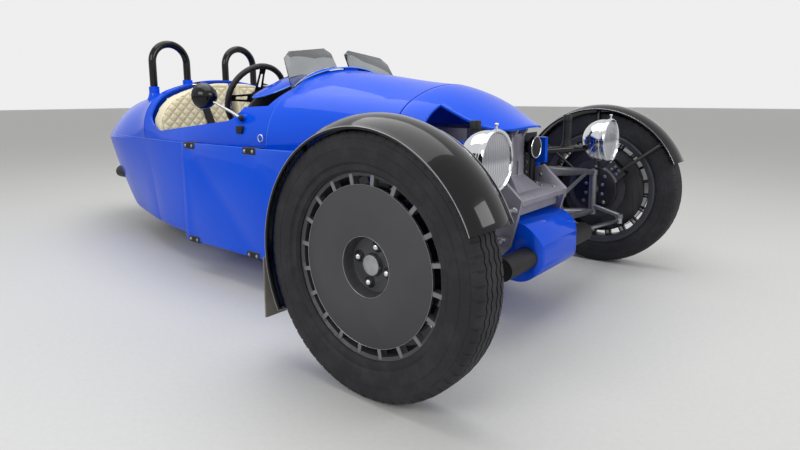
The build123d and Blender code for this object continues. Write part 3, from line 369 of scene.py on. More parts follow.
def makeStudio():
    studio = {"floor": shade(206, 206, 204), "grain": shade(198, 198, 197), "size": 40, "world": 0.55, "backdrop": 0.86,
              "lamps": {  # place, aimed at, width and height, power
                  "overhead": ((0, 0, 4.2), (0, 0, 0), (3.6, 5.0), 120),
                  "nearSide": ((-4.2, -1.2, 2.6), (0, 0, 0.5), (2.4, 1.6), 60),
                  "ahead": ((0.8, -5.4, 2.6), (0, -0.6, 0.5), (2.6, 1.4), 55)}}
    bm = bmesh.new()
    bmesh.ops.create_grid(bm, x_segments=1, y_segments=1, size=studio["size"])
    floor = added("floor", bpy.data.meshes.new("floor"))
    bm.to_mesh(floor.data)
    floor.location.z = cadLow.z - 0.0005
    finish = Finish("floorFinish", specular=0.3)
    grain = finish.noise(60, 5)
    finish.drive(color=finish.mix(grain, studio["floor"], studio["grain"]), roughness=finish.fit(grain, 0.55, 0.7))
    floor.data.materials.append(finish.material)
    # the world lights the car at one level, and shows and mirrors at a brighter one
    world = bpy.data.worlds.new("studio")
    bpy.context.scene.world = world
    world.use_nodes = True
    tree = world.node_tree
    path = tree.nodes.new("ShaderNodeLightPath")
    bright = path.outputs["Is Camera Ray"]
    for ray in ("Is Transmission Ray", "Is Glossy Ray"):
        either = tree.nodes.new("ShaderNodeMath")
        either.operation = "MAXIMUM"
        tree.links.new(bright, either.inputs[0])
        tree.links.new(path.outputs[ray], either.inputs[1])
        bright = either.outputs[0]
    level = tree.nodes.new("ShaderNodeMapRange")
    level.inputs[3].default_value, level.inputs[4].default_value = studio["world"], studio["backdrop"]
    tree.links.new(bright, level.inputs[0])
    tree.links.new(level.outputs[0], tree.nodes["Background"].inputs["Strength"])
    tree.nodes["Background"].inputs["Color"].default_value = (1, 1, 1, 1)
    for name, (at, aim, size, power) in studio["lamps"].items():
        lamp = added(name, bpy.data.lights.new(name, "AREA"))
        lamp.data.shape, lamp.data.size, lamp.data.size_y = "RECTANGLE", *size
        lamp.data.energy = power
        lamp.location = at
        lamp.rotation_euler = (Vector(aim) - Vector(at)).to_track_quat("-Z", "Y").to_euler()


makeCamera()
makeStudio()
bpy.context.scene.view_settings.view_transform = "Standard"
print("camera, floor and lights")


def boxMiddle(node):
    low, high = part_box(node)
    return (low + high) / 2


axle = {"out": 850, "height": 371, "y": boxMiddle("front_rim_left").y}  # front wheels' middles
rearWheel = Vector((0, *boxMiddle("rear_tyre").yz))


def fromAxle(x, y, z):
    # millimetres from the ground under the front axle's middle, as metres in the frame
    return Vector((x / 1000, y / 1000 + axle["y"], z / 1000))


frontWheel = {side: fromAxle(sx * axle["out"], 0, axle["height"]) for side, sx in sides.items()}


def newObject(name, vertices, faces):
    mesh = bpy.data.meshes.new(name)
    mesh.from_pydata([tuple(v) for v in vertices], [], faces)
    return added(name, mesh)


def applied(thing):
    # what the modifiers make of it, as a plain mesh
    bpy.context.view_layer.update()
    made = bpy.data.meshes.new_from_object(thing.evaluated_get(bpy.context.evaluated_depsgraph_get()))
    thing.modifiers.clear()
    thing.data = made
    return thing


def reshaped(thing, change):
    bm = bmesh.new()
    bm.from_mesh(thing.data)
    change(bm)
    bm.to_mesh(thing.data)
    bm.free()
    return thing


def outward(thing):
    # doubles merged and faces turned outwards
    def change(bm):
        bmesh.ops.remove_doubles(bm, verts=bm.verts, dist=1e-6)
        bmesh.ops.recalc_face_normals(bm, faces=bm.faces)
    return reshaped(thing, change)


def finishPiece(thing, slot, body, replaces=(), sharp=35, material=None):
    thing.data.materials.clear()
    thing.data.materials.append(material or finishes[slot])
    thing.data.shade_smooth()
    thing.data.set_sharp_from_angle(angle=math.radians(sharp))
    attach(thing, body)
    if replaces:
        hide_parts(*replaces)
    return thing


def lathe(profile, steps, at, axis="X", closed=False):
    # a profile of (along, radius) turned about an axis; a point on the axis closes the end
    turn = {"X": lambda a, r, t: (a, r * math.cos(t), r * math.sin(t)),
            "Y": lambda a, r, t: (r * math.sin(t), a, r * math.cos(t)),
            "Z": lambda a, r, t: (r * math.cos(t), r * math.sin(t), a)}[axis]
    vertices, faces, rings = [], [], []
    for along, radius in profile:
        if radius < 1e-7:
            rings.append([len(vertices)] * steps)
            vertices.append(Vector(turn(along, 0, 0)) + at)
        else:
            rings.append([len(vertices) + i for i in range(steps)])
            vertices += [Vector(turn(along, radius, tau * i / steps)) + at for i in range(steps)]
    pairs = list(zip(rings, rings[1:])) + ([(rings[-1], rings[0])] if closed else [])
    for first, second in pairs:
        for i in range(steps):
            j = (i + 1) % steps
            ids = list(dict.fromkeys((first[i], first[j], second[j], second[i])))
            if len(ids) > 2:
                faces.append(ids)
    return vertices, faces


def skin(count, around, ends="capped"):
    # quads between rings of vertices; the ends are capped, left open, or joined to each other
    faces = []
    for i in range(count if ends == "joined" else count - 1):
        j = (i + 1) % count
        for k in range(around):
            m = (k + 1) % around
            faces.append((i * around + k, i * around + m, j * around + m, j * around + k))
    if ends == "capped":
        faces += [list(range(around))[::-1], [(count - 1) * around + k for k in range(around)]]
    return faces


def tube(points, radius, around=12):
    # a round bar along points, with its ends capped
    points = [Vector(p) for p in points]
    count = len(points)
    radii = radius if isinstance(radius, (list, tuple)) else [radius] * count
    vertices = []
    side = None
    for i, point in enumerate(points):
        along = (points[min(i + 1, count - 1)] - points[max(i - 1, 0)]).normalized()
        if side is None:
            side = along.orthogonal().normalized()
        side = (side - along * side.dot(along)).normalized()
        up = along.cross(side)
        for k in range(around):
            t = tau * k / around
            vertices.append(point + radii[i] * (side * math.cos(t) + up * math.sin(t)))
    return vertices, skin(count, around)


def together(parts):
    # several vertex and face lists as one
    vertices, faces = [], []
    for moreVertices, moreFaces in parts:
        start = len(vertices)
        vertices += moreVertices
        faces += [[i + start for i in face] for face in moreFaces]
    return vertices, faces


class NodeTree:
    # a Geometry Nodes tree with named inputs
    def __init__(self, name, inputs):
        self.tree = bpy.data.node_groups.new(name, "GeometryNodeTree")
        self.tree.interface.new_socket("Geometry", in_out="INPUT", socket_type="NodeSocketGeometry")
        self.names = {}
        for label, kind in inputs.items():
            self.names[label] = self.tree.interface.new_socket(label, in_out="INPUT", socket_type=kind).identifier
        self.tree.interface.new_socket("Geometry", in_out="OUTPUT", socket_type="NodeSocketGeometry")
        self.start = self.tree.nodes.new("NodeGroupInput")
        self.end = self.tree.nodes.new("NodeGroupOutput")

    def add(self, kind, settings=None, sockets=None, output=0):
        node = self.tree.nodes.new(kind)
        for key, value in (settings or {}).items():
            setattr(node, key, value)
        for key, value in (sockets or {}).items():
            if isinstance(value, bpy.types.NodeSocket):
                self.tree.links.new(value, node.inputs[key])
            else:
                node.inputs[key].default_value = value
        return node.outputs[output]

    def close(self, geometry, merge=None):
        whole = self.add("GeometryNodeRealizeInstances", None, {0: geometry})
        if merge is not None:
            whole = self.add("GeometryNodeMergeByDistance", None, {"Geometry": whole, "Distance": merge})
        whole = self.add("GeometryNodeSetMaterial", None, {"Geometry": whole, "Material": self.start.outputs["Finish"]})
        self.tree.links.new(whole, self.end.inputs[0])

    def run(self, thing, **values):
        modifier = thing.modifiers.new("repeat", "NODES")
        modifier.node_group = self.tree
        for label, value in values.items():
            modifier[self.names[label]] = value
        return applied(thing)


def makeRingTree():
    made = NodeTree("turnRound", {"Count": "NodeSocketInt", "Finish": "NodeSocketMaterial"})
    count = made.start.outputs["Count"]
    index = made.add("GeometryNodeInputIndex")
    step = made.add("ShaderNodeMath", {"operation": "DIVIDE"}, {0: tau, 1: count})
    angle = made.add("ShaderNodeMath", {"operation": "MULTIPLY"}, {0: index, 1: step})
    turn = made.add("ShaderNodeCombineXYZ", None, {"X": angle})
    line = made.add("GeometryNodeMeshLine", None, {"Count": count, "Offset": (0, 0, 0)})
    copies = made.add("GeometryNodeInstanceOnPoints", None,
                      {"Points": line, "Instance": made.start.outputs["Geometry"], "Rotation": turn})
    made.close(copies, 1e-5)
    return made


def makePointsTree():
    # the piece's own vertices are the points; each copy faces along the vertex's normal attribute
    made = NodeTree("setOnPoints", {"Part": "NodeSocketObject", "Finish": "NodeSocketMaterial"})
    part = made.add("GeometryNodeObjectInfo", None, {"Object": made.start.outputs["Part"]}, "Geometry")
    facing = made.add("GeometryNodeInputNamedAttribute", {"data_type": "FLOAT_VECTOR"}, {"Name": "facing"})
    turn = made.add("FunctionNodeAlignRotationToVector", {"axis": "Z"}, {"Vector": facing})
    copies = made.add("GeometryNodeInstanceOnPoints", None,
                      {"Points": made.start.outputs["Geometry"], "Instance": part, "Rotation": turn})
    made.close(copies)
    return made


turnRound = makeRingTree()
setOnPoints = makePointsTree()


def ringed(name, parts, count, at, slot, body, **more):
    # one sector, repeated about the X axis through a point
    thing = newObject(name, *parts)
    turnRound.run(thing, Count=count, Finish=finishes[slot])
    thing.data.transform(Matrix.Translation(at))
    return finishPiece(outward(thing), slot, body, **more)


def scattered(name, part, places, slot, body, **more):
    # copies of a small part at (point, direction) pairs
    shape = newObject(name + "Shape", *part)
    thing = newObject(name, [place for place, facing in places], [])
    facing = thing.data.attributes.new("facing", "FLOAT_VECTOR", "POINT")
    facing.data.foreach_set("vector", [c for place, toward in places for c in Vector(toward).normalized()])
    setOnPoints.run(thing, Part=shape, Finish=finishes[slot])
    bpy.data.objects.remove(shape)
    return finishPiece(outward(thing), slot, body, **more)


def tyreSector(tyre):
    # one pitch of the tread: zigzag ribs, notched shoulders, stepped side walls
    half, radius, pitch = tyre["width"] / 2, tyre["radius"], tau / tyre["pitches"]
    shoulder = half - 0.017
    outer = [(x, r, 0, 0) for x, r in tyre["wall"]]  # across, radius, zigzag share, notch depth
    outer += [(half - 0.0035, radius - 0.020, 0, 0.0018), (half - 0.0085, radius - 0.0095, 0, 0.0030),
              (shoulder, radius - 0.0035, 0, 0.0035)]
    across = [(-x, *rest) for x, *rest in outer]
    for g in tyre["grooves"]:
        crown = radius - 0.0022 * (abs(g) / shoulder) ** 2
        across += [(g - 0.0027, crown, 1, 0), (g - 0.0015, crown - tyre["depth"], 1, 0),
                   (g + 0.0015, crown - tyre["depth"], 1, 0), (g + 0.0027, crown, 1, 0)]
    across += outer[::-1]
    steps = [(0.0, 0.0, 0), (0.12, 0.5, 0), (0.2, 0.8, 0), (0.24, 1.0, 1), (0.36, 0.55, 1), (0.4, 0.4, 0),
             (0.62, -0.5, 0), (0.74, -1.0, 0), (0.86, -0.55, 0), (1.0, 0.0, 0)]  # share of the pitch, zigzag, notch
    vertices = []
    for share, zig, notch in steps:
        angle = pitch * share
        for x, r, sway, depth in across:
            r -= depth * notch
            vertices.append((x + tyre["zigzag"] * zig * sway, r * math.cos(angle), r * math.sin(angle)))
    return vertices, skin(len(steps), len(across), "open")


def makeTyres():
    front = {"radius": 0.371, "width": 0.130, "pitches": 66, "depth": 0.0055, "zigzag": 0.0032,
             "grooves": [g * 0.98 for g in (-0.032, -0.0115, 0.0115, 0.032)],
             "wall": [(0.046, 0.2545), (0.0545, 0.262), (0.0562, 0.2735), (0.0555, 0.2765), (0.0605, 0.283),
                      (0.0612, 0.2835), (0.0622, 0.288), (0.0646, 0.302), (0.0650, 0.316), (0.0642, 0.3165),
                      (0.0642, 0.3205), (0.0650, 0.321), (0.0640, 0.334), (0.0632, 0.3445), (0.0622, 0.345)]}
    rear = {"radius": 0.317, "width": 0.195, "pitches": 56, "depth": 0.0060, "zigzag": 0.0036,
            "grooves": [-0.062, -0.034, 0, 0.034, 0.062],
            "wall": [(0.078, 0.1885), (0.0870, 0.196), (0.0885, 0.2075), (0.0880, 0.2105), (0.0930, 0.217),
                     (0.0938, 0.2175), (0.0950, 0.223), (0.0970, 0.236), (0.0975, 0.250), (0.0966, 0.2505),
                     (0.0966, 0.2545), (0.0975, 0.255), (0.0970, 0.268), (0.0955, 0.2845), (0.0945, 0.285)]}
    for side in sides:
        ringed("tread_tyre_" + side, tyreSector(front), front["pitches"], frontWheel[side], "tyre_rubber",
               "wheel_" + side, replaces=("front_tyre_" + side,), sharp=28)
    ringed("tread_tyre_rear", tyreSector(rear), rear["pitches"], rearWheel, "tyre_rubber", "wheel_rear",
           replaces=("rear_tyre",), sharp=28)


makeTyres()
print("tyres")


def domeBolt(radius, height):
    washer = radius * 1.35
    profile = [(0, 0), (0, washer), (height * 0.18, washer), (height * 0.2, radius), (height * 0.6, radius * 0.96),
               (height * 0.85, radius * 0.7), (height * 0.97, radius * 0.35), (height, 0)]
    return lathe(profile, 18, Vector(), "Z")


def hexBolt(radius, height):
    washer = lathe([(0, 0), (0, radius * 1.4), (height * 0.15, radius * 1.4), (height * 0.15, 0)], 18, Vector(), "Z")
    head = lathe([(height * 0.15, 0), (height * 0.15, radius), (height * 0.85, radius), (height, radius * 0.82),
                  (height, 0)], 6, Vector(), "Z")
    return together([washer, head])


blockFaces = [(0, 1, 3, 2), (4, 6, 7, 5), (0, 4, 5, 1), (2, 3, 7, 6), (0, 2, 6, 4), (1, 5, 7, 3)]


def slab(low, high):
    # a block between two corners
    corners = [Vector((x, y, z)) for x in (low[0], high[0]) for y in (low[1], high[1]) for z in (low[2], high[2])]
    return corners, blockFaces


def ringBar(at, axis, ringRadius, barRadius, steps=64, around=10):
    # a closed round bar about an axis
    profile = [(barRadius * math.sin(tau * i / around), ringRadius + barRadius * math.cos(tau * i / around))
               for i in range(around)]
    return lathe(profile, steps, at, axis, closed=True)


def eased(thing, width, segments=2, angle=35):
    # edges rounded off
    bevel = thing.modifiers.new("ease", "BEVEL")
    bevel.width, bevel.segments, bevel.limit_method, bevel.angle_limit = width, segments, "ANGLE", math.radians(angle)
    bevel.harden_normals = False
    return applied(thing)


def markEdges(thing, width):
    # the vertices that lie only on the narrow faces of an eased edge, which carry the painted edge highlight
    flat = set()
    for face in thing.data.polygons:
        points = [thing.data.vertices[i].co for i in face.vertices]
        around = sum((a - b).length for a, b in zip(points, points[1:] + points[:1]))
        if 2 * face.area / around > 1.05 * width:
            flat.update(face.vertices)
    edge = thing.data.attributes.new("edge", "FLOAT", "POINT")
    edge.data.foreach_set("value", [0.0 if i in flat else 1.0 for i in range(len(thing.data.vertices))])


def softened(node, slot, body, width, angle=35, material=None, bright=True, turn=None):
    # the CAD node's own shape with its edges rounded off, in place of it
    thing = added(node + "_eased", nodes[node].data.copy())
    if turn:
        thing.data.transform(turn)
    reshaped(outward(thing), lambda bm: bmesh.ops.dissolve_limit(
        bm, angle_limit=math.radians(0.6), verts=bm.verts, edges=bm.edges))
    eased(thing, width, 2, angle)
    # the marked edges take the painted highlight in their finish
    if bright:
        markEdges(thing, width)
    return finishPiece(thing, slot, body, replaces=(node,), sharp=40, material=material)


def bothSides(make):
    # the same parts on the left and, mirrored, on the right
    return together([make(1), make(-1)])


def piece(name, parts, slot, body="body", **more):
    return finishPiece(outward(newObject(name, *parts)), slot, body, **more)


def easedPiece(name, parts, width, segments, slot, body="body"):
    return finishPiece(outward(eased(newObject(name, *together(parts)), width, segments)), slot, body)


wheelStop = math.radians(60.6)  # how far round the front wheels have stopped


def aboutAxle(side):
    at = frontWheel[side]
    return Matrix.Translation(at) @ Matrix.Rotation(wheelStop, 4, "X") @ Matrix.Translation(-at)


def easeEdges():
    widths = {"front_casting": ("cast_aluminium", 0.003), "side_blades": ("body_paint", 0.0012),
              "blade_brackets": ("black_plastic", 0.002), "dash_cowl": ("body_paint", 0.0018),
              "headlamp_brackets": ("black_paint", 0.0015), "swing_arm": ("steel_tube", 0.002),
              "chin": ("body_paint", 0.006), "dashboard": ("black_plastic", 0.002),
              "aero_screens": ("tinted_screen", 0.0012), "bonnet": ("body_paint", 0.0015)}
    bodies = {"bonnet": "front_lid"}
    # the plain nodes get no painted edge highlight
    plain = ("chin", "headlamp_brackets", "swing_arm", "dashboard", "aero_screens")
    for node, (slot, width) in widths.items():
        softened(node, slot, bodies.get(node, "body"), width, bright=node not in plain)
    for side in sides:
        softened("front_rim_" + side, "wheel_paint", "wheel_" + side, 0.0012, 40, turn=aboutAxle(side))
        softened("upright_" + side, "steel_tube", "knuckle_" + side, 0.0015, material=uprightSteel, bright=False)
        softened("mudflap_" + side, "flap_rubber", "knuckle_" + side, 0.0015)
        softened("wing_" + side, "black_paint", "knuckle_" + side, 0.0008, 50, bright=False)
    softened("boot_lid", "body_paint", "rear_lid", 0.0015)
    softened("rear_rim", "wheel_paint", "wheel_rear", 0.0012, 40)


easeEdges()
print("edges eased")


def flutedGlass(radius, flutes, at):
    # a domed disc, flat ahead and fluted behind
    rings, steps = 12, 96
    count = (rings + 1) * steps
    vertices = []
    for depth, flute in ((0, 0), (0.004, 0.0007)):
        for i in range(rings + 1):
            r = (radius - 0.0088) * i / rings
            for k in range(steps):
                x, z = r * math.sin(tau * k / steps), r * math.cos(tau * k / steps)
                dome = -0.0135 + 0.0095 * (r / radius) ** 2 + depth
                vertices.append(at + Vector((x, dome + flute * math.cos(tau * x * flutes / (2 * radius)), z)))
    sheet = skin(rings + 1, steps, "open")
    edge = [rings * steps + k for k in range(steps)]
    rim = [(a, b, count + b, count + a) for a, b in zip(edge, edge[1:] + edge[:1])]
    return vertices, sheet + [[count + i for i in face] for face in sheet] + rim


def quarterRound(start, depth, radius, steps):
    # the back of a bowl, from its rim to a point on the axis
    turns = [math.pi / 2 * i / steps for i in range(steps)]
    return [(start + depth * math.sin(a), radius * math.cos(a)) for a in turns] + [(start + depth, 0)]


def makeHeadlamps():
    lamp = {"at": (486, -154, 630), "radius": 0.091, "flutes": 15, "finial": 0.007}
    radius, tip = lamp["radius"], lamp["finial"]
    shell = [(0.002, radius - 0.0045), (0.002, radius - 0.0012), (0.010, radius - 0.0012), (0.0115, radius - 0.0026),
             (0.013, radius - 0.0012), (0.022, radius - 0.0010)] + quarterRound(0.024, 0.089, radius - 0.001, 14)
    shell += quarterRound(0.022, 0.066, radius - 0.007, 12)[::-1] + [(0.002, radius - 0.007)]
    rim = [(0.004, -0.009), (-0.004, -0.009), (-0.0105, -0.0065), (-0.0135, -0.002), (-0.0125, 0.001),
           (-0.009, 0.0026), (-0.003, 0.0026), (0.0015, 0.0022), (0.004, 0.0008)]
    bulb = [(0.064, 0), (0.060, 0.008), (0.045, 0.009), (0.040, 0.0075), (0.0385, 0)]
    finial = [(0, 0), (0, tip), (0.004, tip), (0.005, tip / 2), (0.012, 0.003), (0.013, 0.006), (0.017, tip),
              (0.020, 0.006), (0.022, 0)]
    x, y, z = lamp["at"]
    spots = [fromAxle(sx * x, y, z) for sx in sides.values()]
    piece("lamp_bowls", together([lathe(shell, 72, at, "Y") for at in spots]), "chrome", replaces=("headlamp_bowls",))
    piece("lamp_rims", together([lathe([(a, radius + r) for a, r in rim], 72, at, "Y", closed=True) for at in spots]),
          "chrome")
    piece("lamp_bulbs", together([lathe(bulb, 20, at, "Y") for at in spots]), "chrome")
    piece("lamp_glasses", together([flutedGlass(radius, lamp["flutes"], at) for at in spots]), "lamp_glass",
          replaces=("headlamp_lenses",))
    tops = [at + Vector((0, -0.004, radius)) for at in spots]
    piece("lamp_finials", together([lathe(finial, 16, top, "Z") for top in tops]), "chrome")
    screws = [(at + Vector((0, -0.010, -radius - 0.001)), (0, -0.4, -1)) for at in spots]
    scattered("lamp_screws", domeBolt(0.0035, 0.005), screws, "bright_steel", "body")


def makeLampPosts():
    # an indicator post beside each lamp, on the lamp's arm
    post = {"at": (370, -14, 590), "tall": 0.152, "radius": 0.0165, "arm": (366, -46, 598), "armRadius": 0.012}
    r, tall = post["radius"], post["tall"]
    stand = [(0, 0), (0, r * 1.9), (0.012, r * 1.7), (0.035, r * 1.15), (0.055, r), (tall - 0.030, r),
             (tall - 0.028, r * 1.12), (tall - 0.004, r * 1.12), (tall, r * 0.95), (tall, 0)]

    def one(sx):
        foot, arm = [fromAxle(sx * x, y, z) for x, y, z in (post["at"], post["arm"])]
        return together([lathe(stand, 28, foot, "Z"), tube([foot + Vector((0, 0, 0.010)), arm], post["armRadius"], 16)])
    piece("lamp_posts", bothSides(one), "black_plastic")


makeHeadlamps()
makeLampPosts()
print("headlamps")


# a lighter silver for the ribs' outer faces, a painted highlight
ribHighlight = makePlain("ribHighlight")


def makeWingHighlights():
    # painted highlight: a fine bright line along both rolled edges of each wing, for the light those edges catch
    highlightLine = {"edges": ((747.5, 0.3882), (927.3, 0.3754)), "from": -30, "to": 158, "steps": 80, "radius": 0.0011}
    for side, sx in sides.items():
        lines = []
        for x, reach in highlightLine["edges"]:
            middle = fromAxle(sx * x, 0, axle["height"])
            turns = [math.radians(a) for a in evenly(highlightLine["from"], highlightLine["to"], highlightLine["steps"])]
            lines.append(tube([middle + Vector((0, reach * math.cos(a), reach * math.sin(a))) for a in turns],
                              highlightLine["radius"], 6))
        piece("wing_trims_" + side, together(lines), "bright_steel", "knuckle_" + side)


def makeFrontWheels():
    wheel = {
        "bolts": 4, "boltsOut": 0.005, "boltCircle": 0.108, "boltRadius": 0.0105, "ribs": 20,
        "washer": [(0, 0), (0, 0.0165), (0.002, 0.0165), (0.003, 0.0150), (0.003, 0)],
        "cap": [(0.004, 0), (0.004, 0.0325), (0.009, 0.0325), (0.0125, 0.0310), (0.0150, 0.0310), (0.0185, 0.0290),
                (0.0200, 0.0250), (0.0205, 0)],
        "skirt": [(0.0370, 0.2218), (-0.030, 0.2190), (-0.030, 0.2160), (0.0370, 0.2188)],
        "edges": ((0.0404, 0.2225, 0.0007, 128), (0.0490, 0.2668, 0.0008, 128), (0.0400, 0.0835, 0.0007, 96)),
        "valve": [(0, 0), (0, 0.0045), (0.006, 0.0045), (0.007, 0.003), (0.022, 0.003), (0.0225, 0.0038),
                  (0.030, 0.0038), (0.031, 0)],
        "valveTurn": 209, "valveOut": 0.020, "valveReach": 0.240}
    turn = Matrix.Rotation(wheelStop, 3, "X")
    for side, sx in sides.items():
        at, body = frontWheel[side], "wheel_" + side

        def ribs(name, out, half, reach, slot, **more):
            low, high = sorted(sx * x for x in out)
            corners, faces = slab((low, -half, reach[0]), (high, half, reach[1]))
            ringed(name + side, ([turn @ v for v in corners], faces), wheel["ribs"], at, slot, body, **more)

        spots = []
        for i in range(wheel["bolts"]):
            t, reach = tau * (i + 0.5) / wheel["bolts"] - wheelStop, wheel["boltCircle"] / 2
            spots.append((at + Vector((sx * wheel["boltsOut"], reach * math.sin(t), reach * math.cos(t))), (sx, 0, 0)))
        scattered("wheel_washers_" + side, lathe(wheel["washer"], 24, Vector(), "Z"), spots, "black_plastic", body)
        scattered("wheel_bolts_" + side, domeBolt(wheel["boltRadius"], 0.0150), spots, "chrome", body)
        piece("wheel_cap_" + side, lathe([(sx * a, r) for a, r in wheel["cap"]], 48, at), "bright_steel", body)
        # painted shade: a black sleeve just inside the rim, behind the slots, so that they show dark
        skirt = lathe([(sx * a, r) for a, r in wheel["skirt"]], 96, at, closed=True)
        piece("wheel_skirt_" + side, skirt, "black_paint", body)
        ribs("wheel_vanes_", (-0.030, 0.0372), 0.0032, (0.2195, 0.2630), "black_paint")
        # painted highlight: the ribs' outer faces in a lighter silver
        ribs("rib_faces_", (0.0374, 0.0392), 0.0058, (0.2230, 0.2615), "wheel_paint", material=ribHighlight)
        # painted highlight: thin bright rings along the disc's edge, the rim lip and round the centre
        lines = [ringBar(at + Vector((sx * x, 0, 0)), "X", r, bar, steps, 6) for x, r, bar, steps in wheel["edges"]]
        piece("wheel_edges_" + side, together(lines), "bright_steel", body)
        t, reach = math.radians(wheel["valveTurn"]) - wheelStop, wheel["valveReach"]
        spot = at + Vector((sx * wheel["valveOut"], reach * math.sin(t), reach * math.cos(t)))
        scattered("wheel_valve_" + side, lathe(wheel["valve"], 12, Vector(), "Z"),
                  [(spot, (sx * 0.7, -math.sin(t), -math.cos(t)))], "black_plastic", body)


makeWingHighlights()
makeFrontWheels()
print("front wheels")


def makeNose():
    nose = {"panel": (184, (36.0, 39.3), (478, 676)), "skirt": (176, (-62, -52), (393, 452)),  # half, y, z
            "panelRows": ((62, range(500, 681, 22)), (96, (520, 560, 600))), "panelOut": 36,
            "cheekBolts": ((-70, 424), (-34, 308), (10, 504), (14, 300), (16, 380)), "cheekIn": 178, "cheekOut": 194,
            "shelfBolts": ((150, -60), (150, 14), (118, -22))}
    for name, key, slot in (("front_blank", "panel", "black_plastic"), ("shelf_skirt", "skirt", "cast_aluminium")):
        half, ys, zs = nose[key]
        piece(name, slab(*[fromAxle(x, y, z) for x, y, z in zip((-half, half), ys, zs)]), slot)
    panel, cheek, shelf = [], [], []
    for sx in sides.values():
        panel += [(fromAxle(sx * x, nose["panelOut"], z), (0, -1, 0)) for x, zs in nose["panelRows"] for z in zs]
        for y, z in nose["cheekBolts"]:
            cheek.append((fromAxle(sx * nose["cheekIn"], y, z), (-sx, 0, 0)))
        for y, z in nose["cheekBolts"][-2:]:
            cheek.append((fromAxle(sx * nose["cheekOut"], y, z), (sx, 0, 0)))
        shelf += [(fromAxle(sx * x, y, 457 + (y + 98) * 0.138), (0, 0, 1)) for x, y in nose["shelfBolts"]]  # it slopes
    scattered("panel_bolts", hexBolt(0.0045, 0.006), panel, "bright_steel", "body")
    scattered("cheek_bolts", hexBolt(0.007, 0.007), cheek, "bright_steel", "body")
    scattered("shelf_bolts", domeBolt(0.006, 0.005), shelf, "bright_steel", "body")


def makeHorn():
    horn = {"at": (94, -7, 621), "radius": 0.043, "ribs": (0.48, 0.58, 0.68, 0.78)}
    at, radius = fromAxle(*horn["at"]), horn["radius"]
    shell = [(0.030, 0), (0.030, 0.62), (0.020, 0.80), (0.012, 0.98), (0.004, 1), (0.0005, 0.99), (-0.0005, 0.93),
             (0.004, 0.86), (0.005, 0.40), (-0.001, 0.34), (-0.002, 0)]
    piece("horn_shell", lathe([(a, share * radius) for a, share in shell], 56, at, "Y"), "black_plastic")
    piece("horn_ring", ringBar(at + Vector((0, 0.0005, 0)), "Y", radius * 0.955, 0.0022, 64, 10), "chrome")
    face = at + Vector((0, 0.0040, 0))
    piece("horn_ribs", together([ringBar(face, "Y", radius * share, 0.0010, 56, 6) for share in horn["ribs"]]),
          "black_plastic")


makeNose()
makeHorn()
print("nose")


def makeHoopCollars():
    # each hoop leg rises out of a cone that flares into the deck
    collar = {"y": 2103, "legs": ((128, 915, 868), (332, 875, 800)), "root": 0.042, "top": 0.0235, "steps": 10}

    def one(sx):
        parts = []
        for x, top, root in collar["legs"]:
            tall = (top - root) / 1000 + 0.001
            flare = [(tall * i, collar["top"] + (collar["root"] - collar["top"]) * (1 - i) ** 2.2)
                     for i in evenly(0, 1, collar["steps"])]
            profile = [(0, 0)] + flare + [(tall, 0.0205), (tall, 0)]
            parts.append(lathe(profile, 40, fromAxle(sx * x, collar["y"], root), "Z"))
        return together(parts)
    piece("hoop_fairings", bothSides(one), "body_paint")


def makeMirrors():
    # a round back, a rim and its glass, on a stem that thins towards the shell
    mirror = {"at": (575, 1216, 823), "base": (495, 1075, 730), "radius": 0.0555,
              "stem": (0.0062, 0.0060, 0.0052, 0.0048),
              "foot": ((0, 0), (0, 0.0155), (0.004, 0.0150), (0.012, 0.0095), (0.015, 0.0070), (0.016, 0))}
    radius = mirror["radius"]
    back = [(0.010, 0), (0.010, radius - 0.004), (0.0155, radius - 0.002)]
    back += quarterRound(0.015, -(radius + 0.012), radius, 14)
    glass = [(0.0150, 0), (0.0148, radius * 0.5), (0.0140, radius - 0.003), (0.0100, radius - 0.003), (0.0100, 0)]
    shells, rims, glasses, stems, feet = [], [], [], [], []
    for sx in sides.values():
        at, foot = [fromAxle(sx * x, y, z) for x, y, z in (mirror["at"], mirror["base"])]
        shells.append(lathe(back, 56, at, "Y"))
        rims.append(ringBar(at + Vector((0, 0.0150, 0)), "Y", radius - 0.0018, 0.0018, 64, 8))
        glasses.append(lathe(glass, 48, at, "Y"))
        end = at + Vector((-sx * 0.012, -0.040, -0.024))
        path = [foot + Vector((sx * 0.006, 0, 0)), foot.lerp(end, 0.35), foot.lerp(end, 0.7), end]
        stems.append(tube(path, mirror["stem"], 16))
        feet.append(lathe([(sx * a, r) for a, r in mirror["foot"]], 28, foot))
    piece("mirror_shells", together(shells), "black_paint", replaces=("mirrors",))
    piece("mirror_rims", together(rims), "chrome")
    piece("mirror_glasses", together(glasses), "chrome")
    piece("mirror_stems", together(stems), "bright_steel")
    piece("mirror_feet", together(feet), "black_plastic")


def makeTailLamps():
    lamp = {"at": (270, 2560, 350), "radius": 0.037, "length": 0.155}
    radius, length = lamp["radius"], lamp["length"]
    pod = [(0, 0), (0, radius * 0.8), (0.006, radius * 0.95), (0.014, radius - 0.0005),
           (length - 0.012, radius - 0.0005), (length - 0.006, radius - 0.002), (length - 0.006, 0)]
    lens = [(length - 0.010, 0), (length - 0.010, radius - 0.006), (length - 0.005, radius - 0.006),
            (length - 0.002, radius * 0.6), (length - 0.0005, 0)]
    x, y, z = lamp["at"]
    spots = [fromAxle(sx * x, y, z) for sx in sides.values()]
    ends = [at + Vector((0, length - 0.0065, 0)) for at in spots]
    piece("tail_lamp_pods", together([lathe(pod, 48, at, "Y") for at in spots]), "black_plastic",
          replaces=("tail_lamps",))
    piece("tail_lamp_rings", together([ringBar(at, "Y", radius - 0.0035, 0.0028, 56, 8) for at in ends]), "chrome")
    piece("tail_lamp_lenses", together([lathe(lens, 40, at, "Y") for at in spots]), "lamp_glass", material=redGlass)


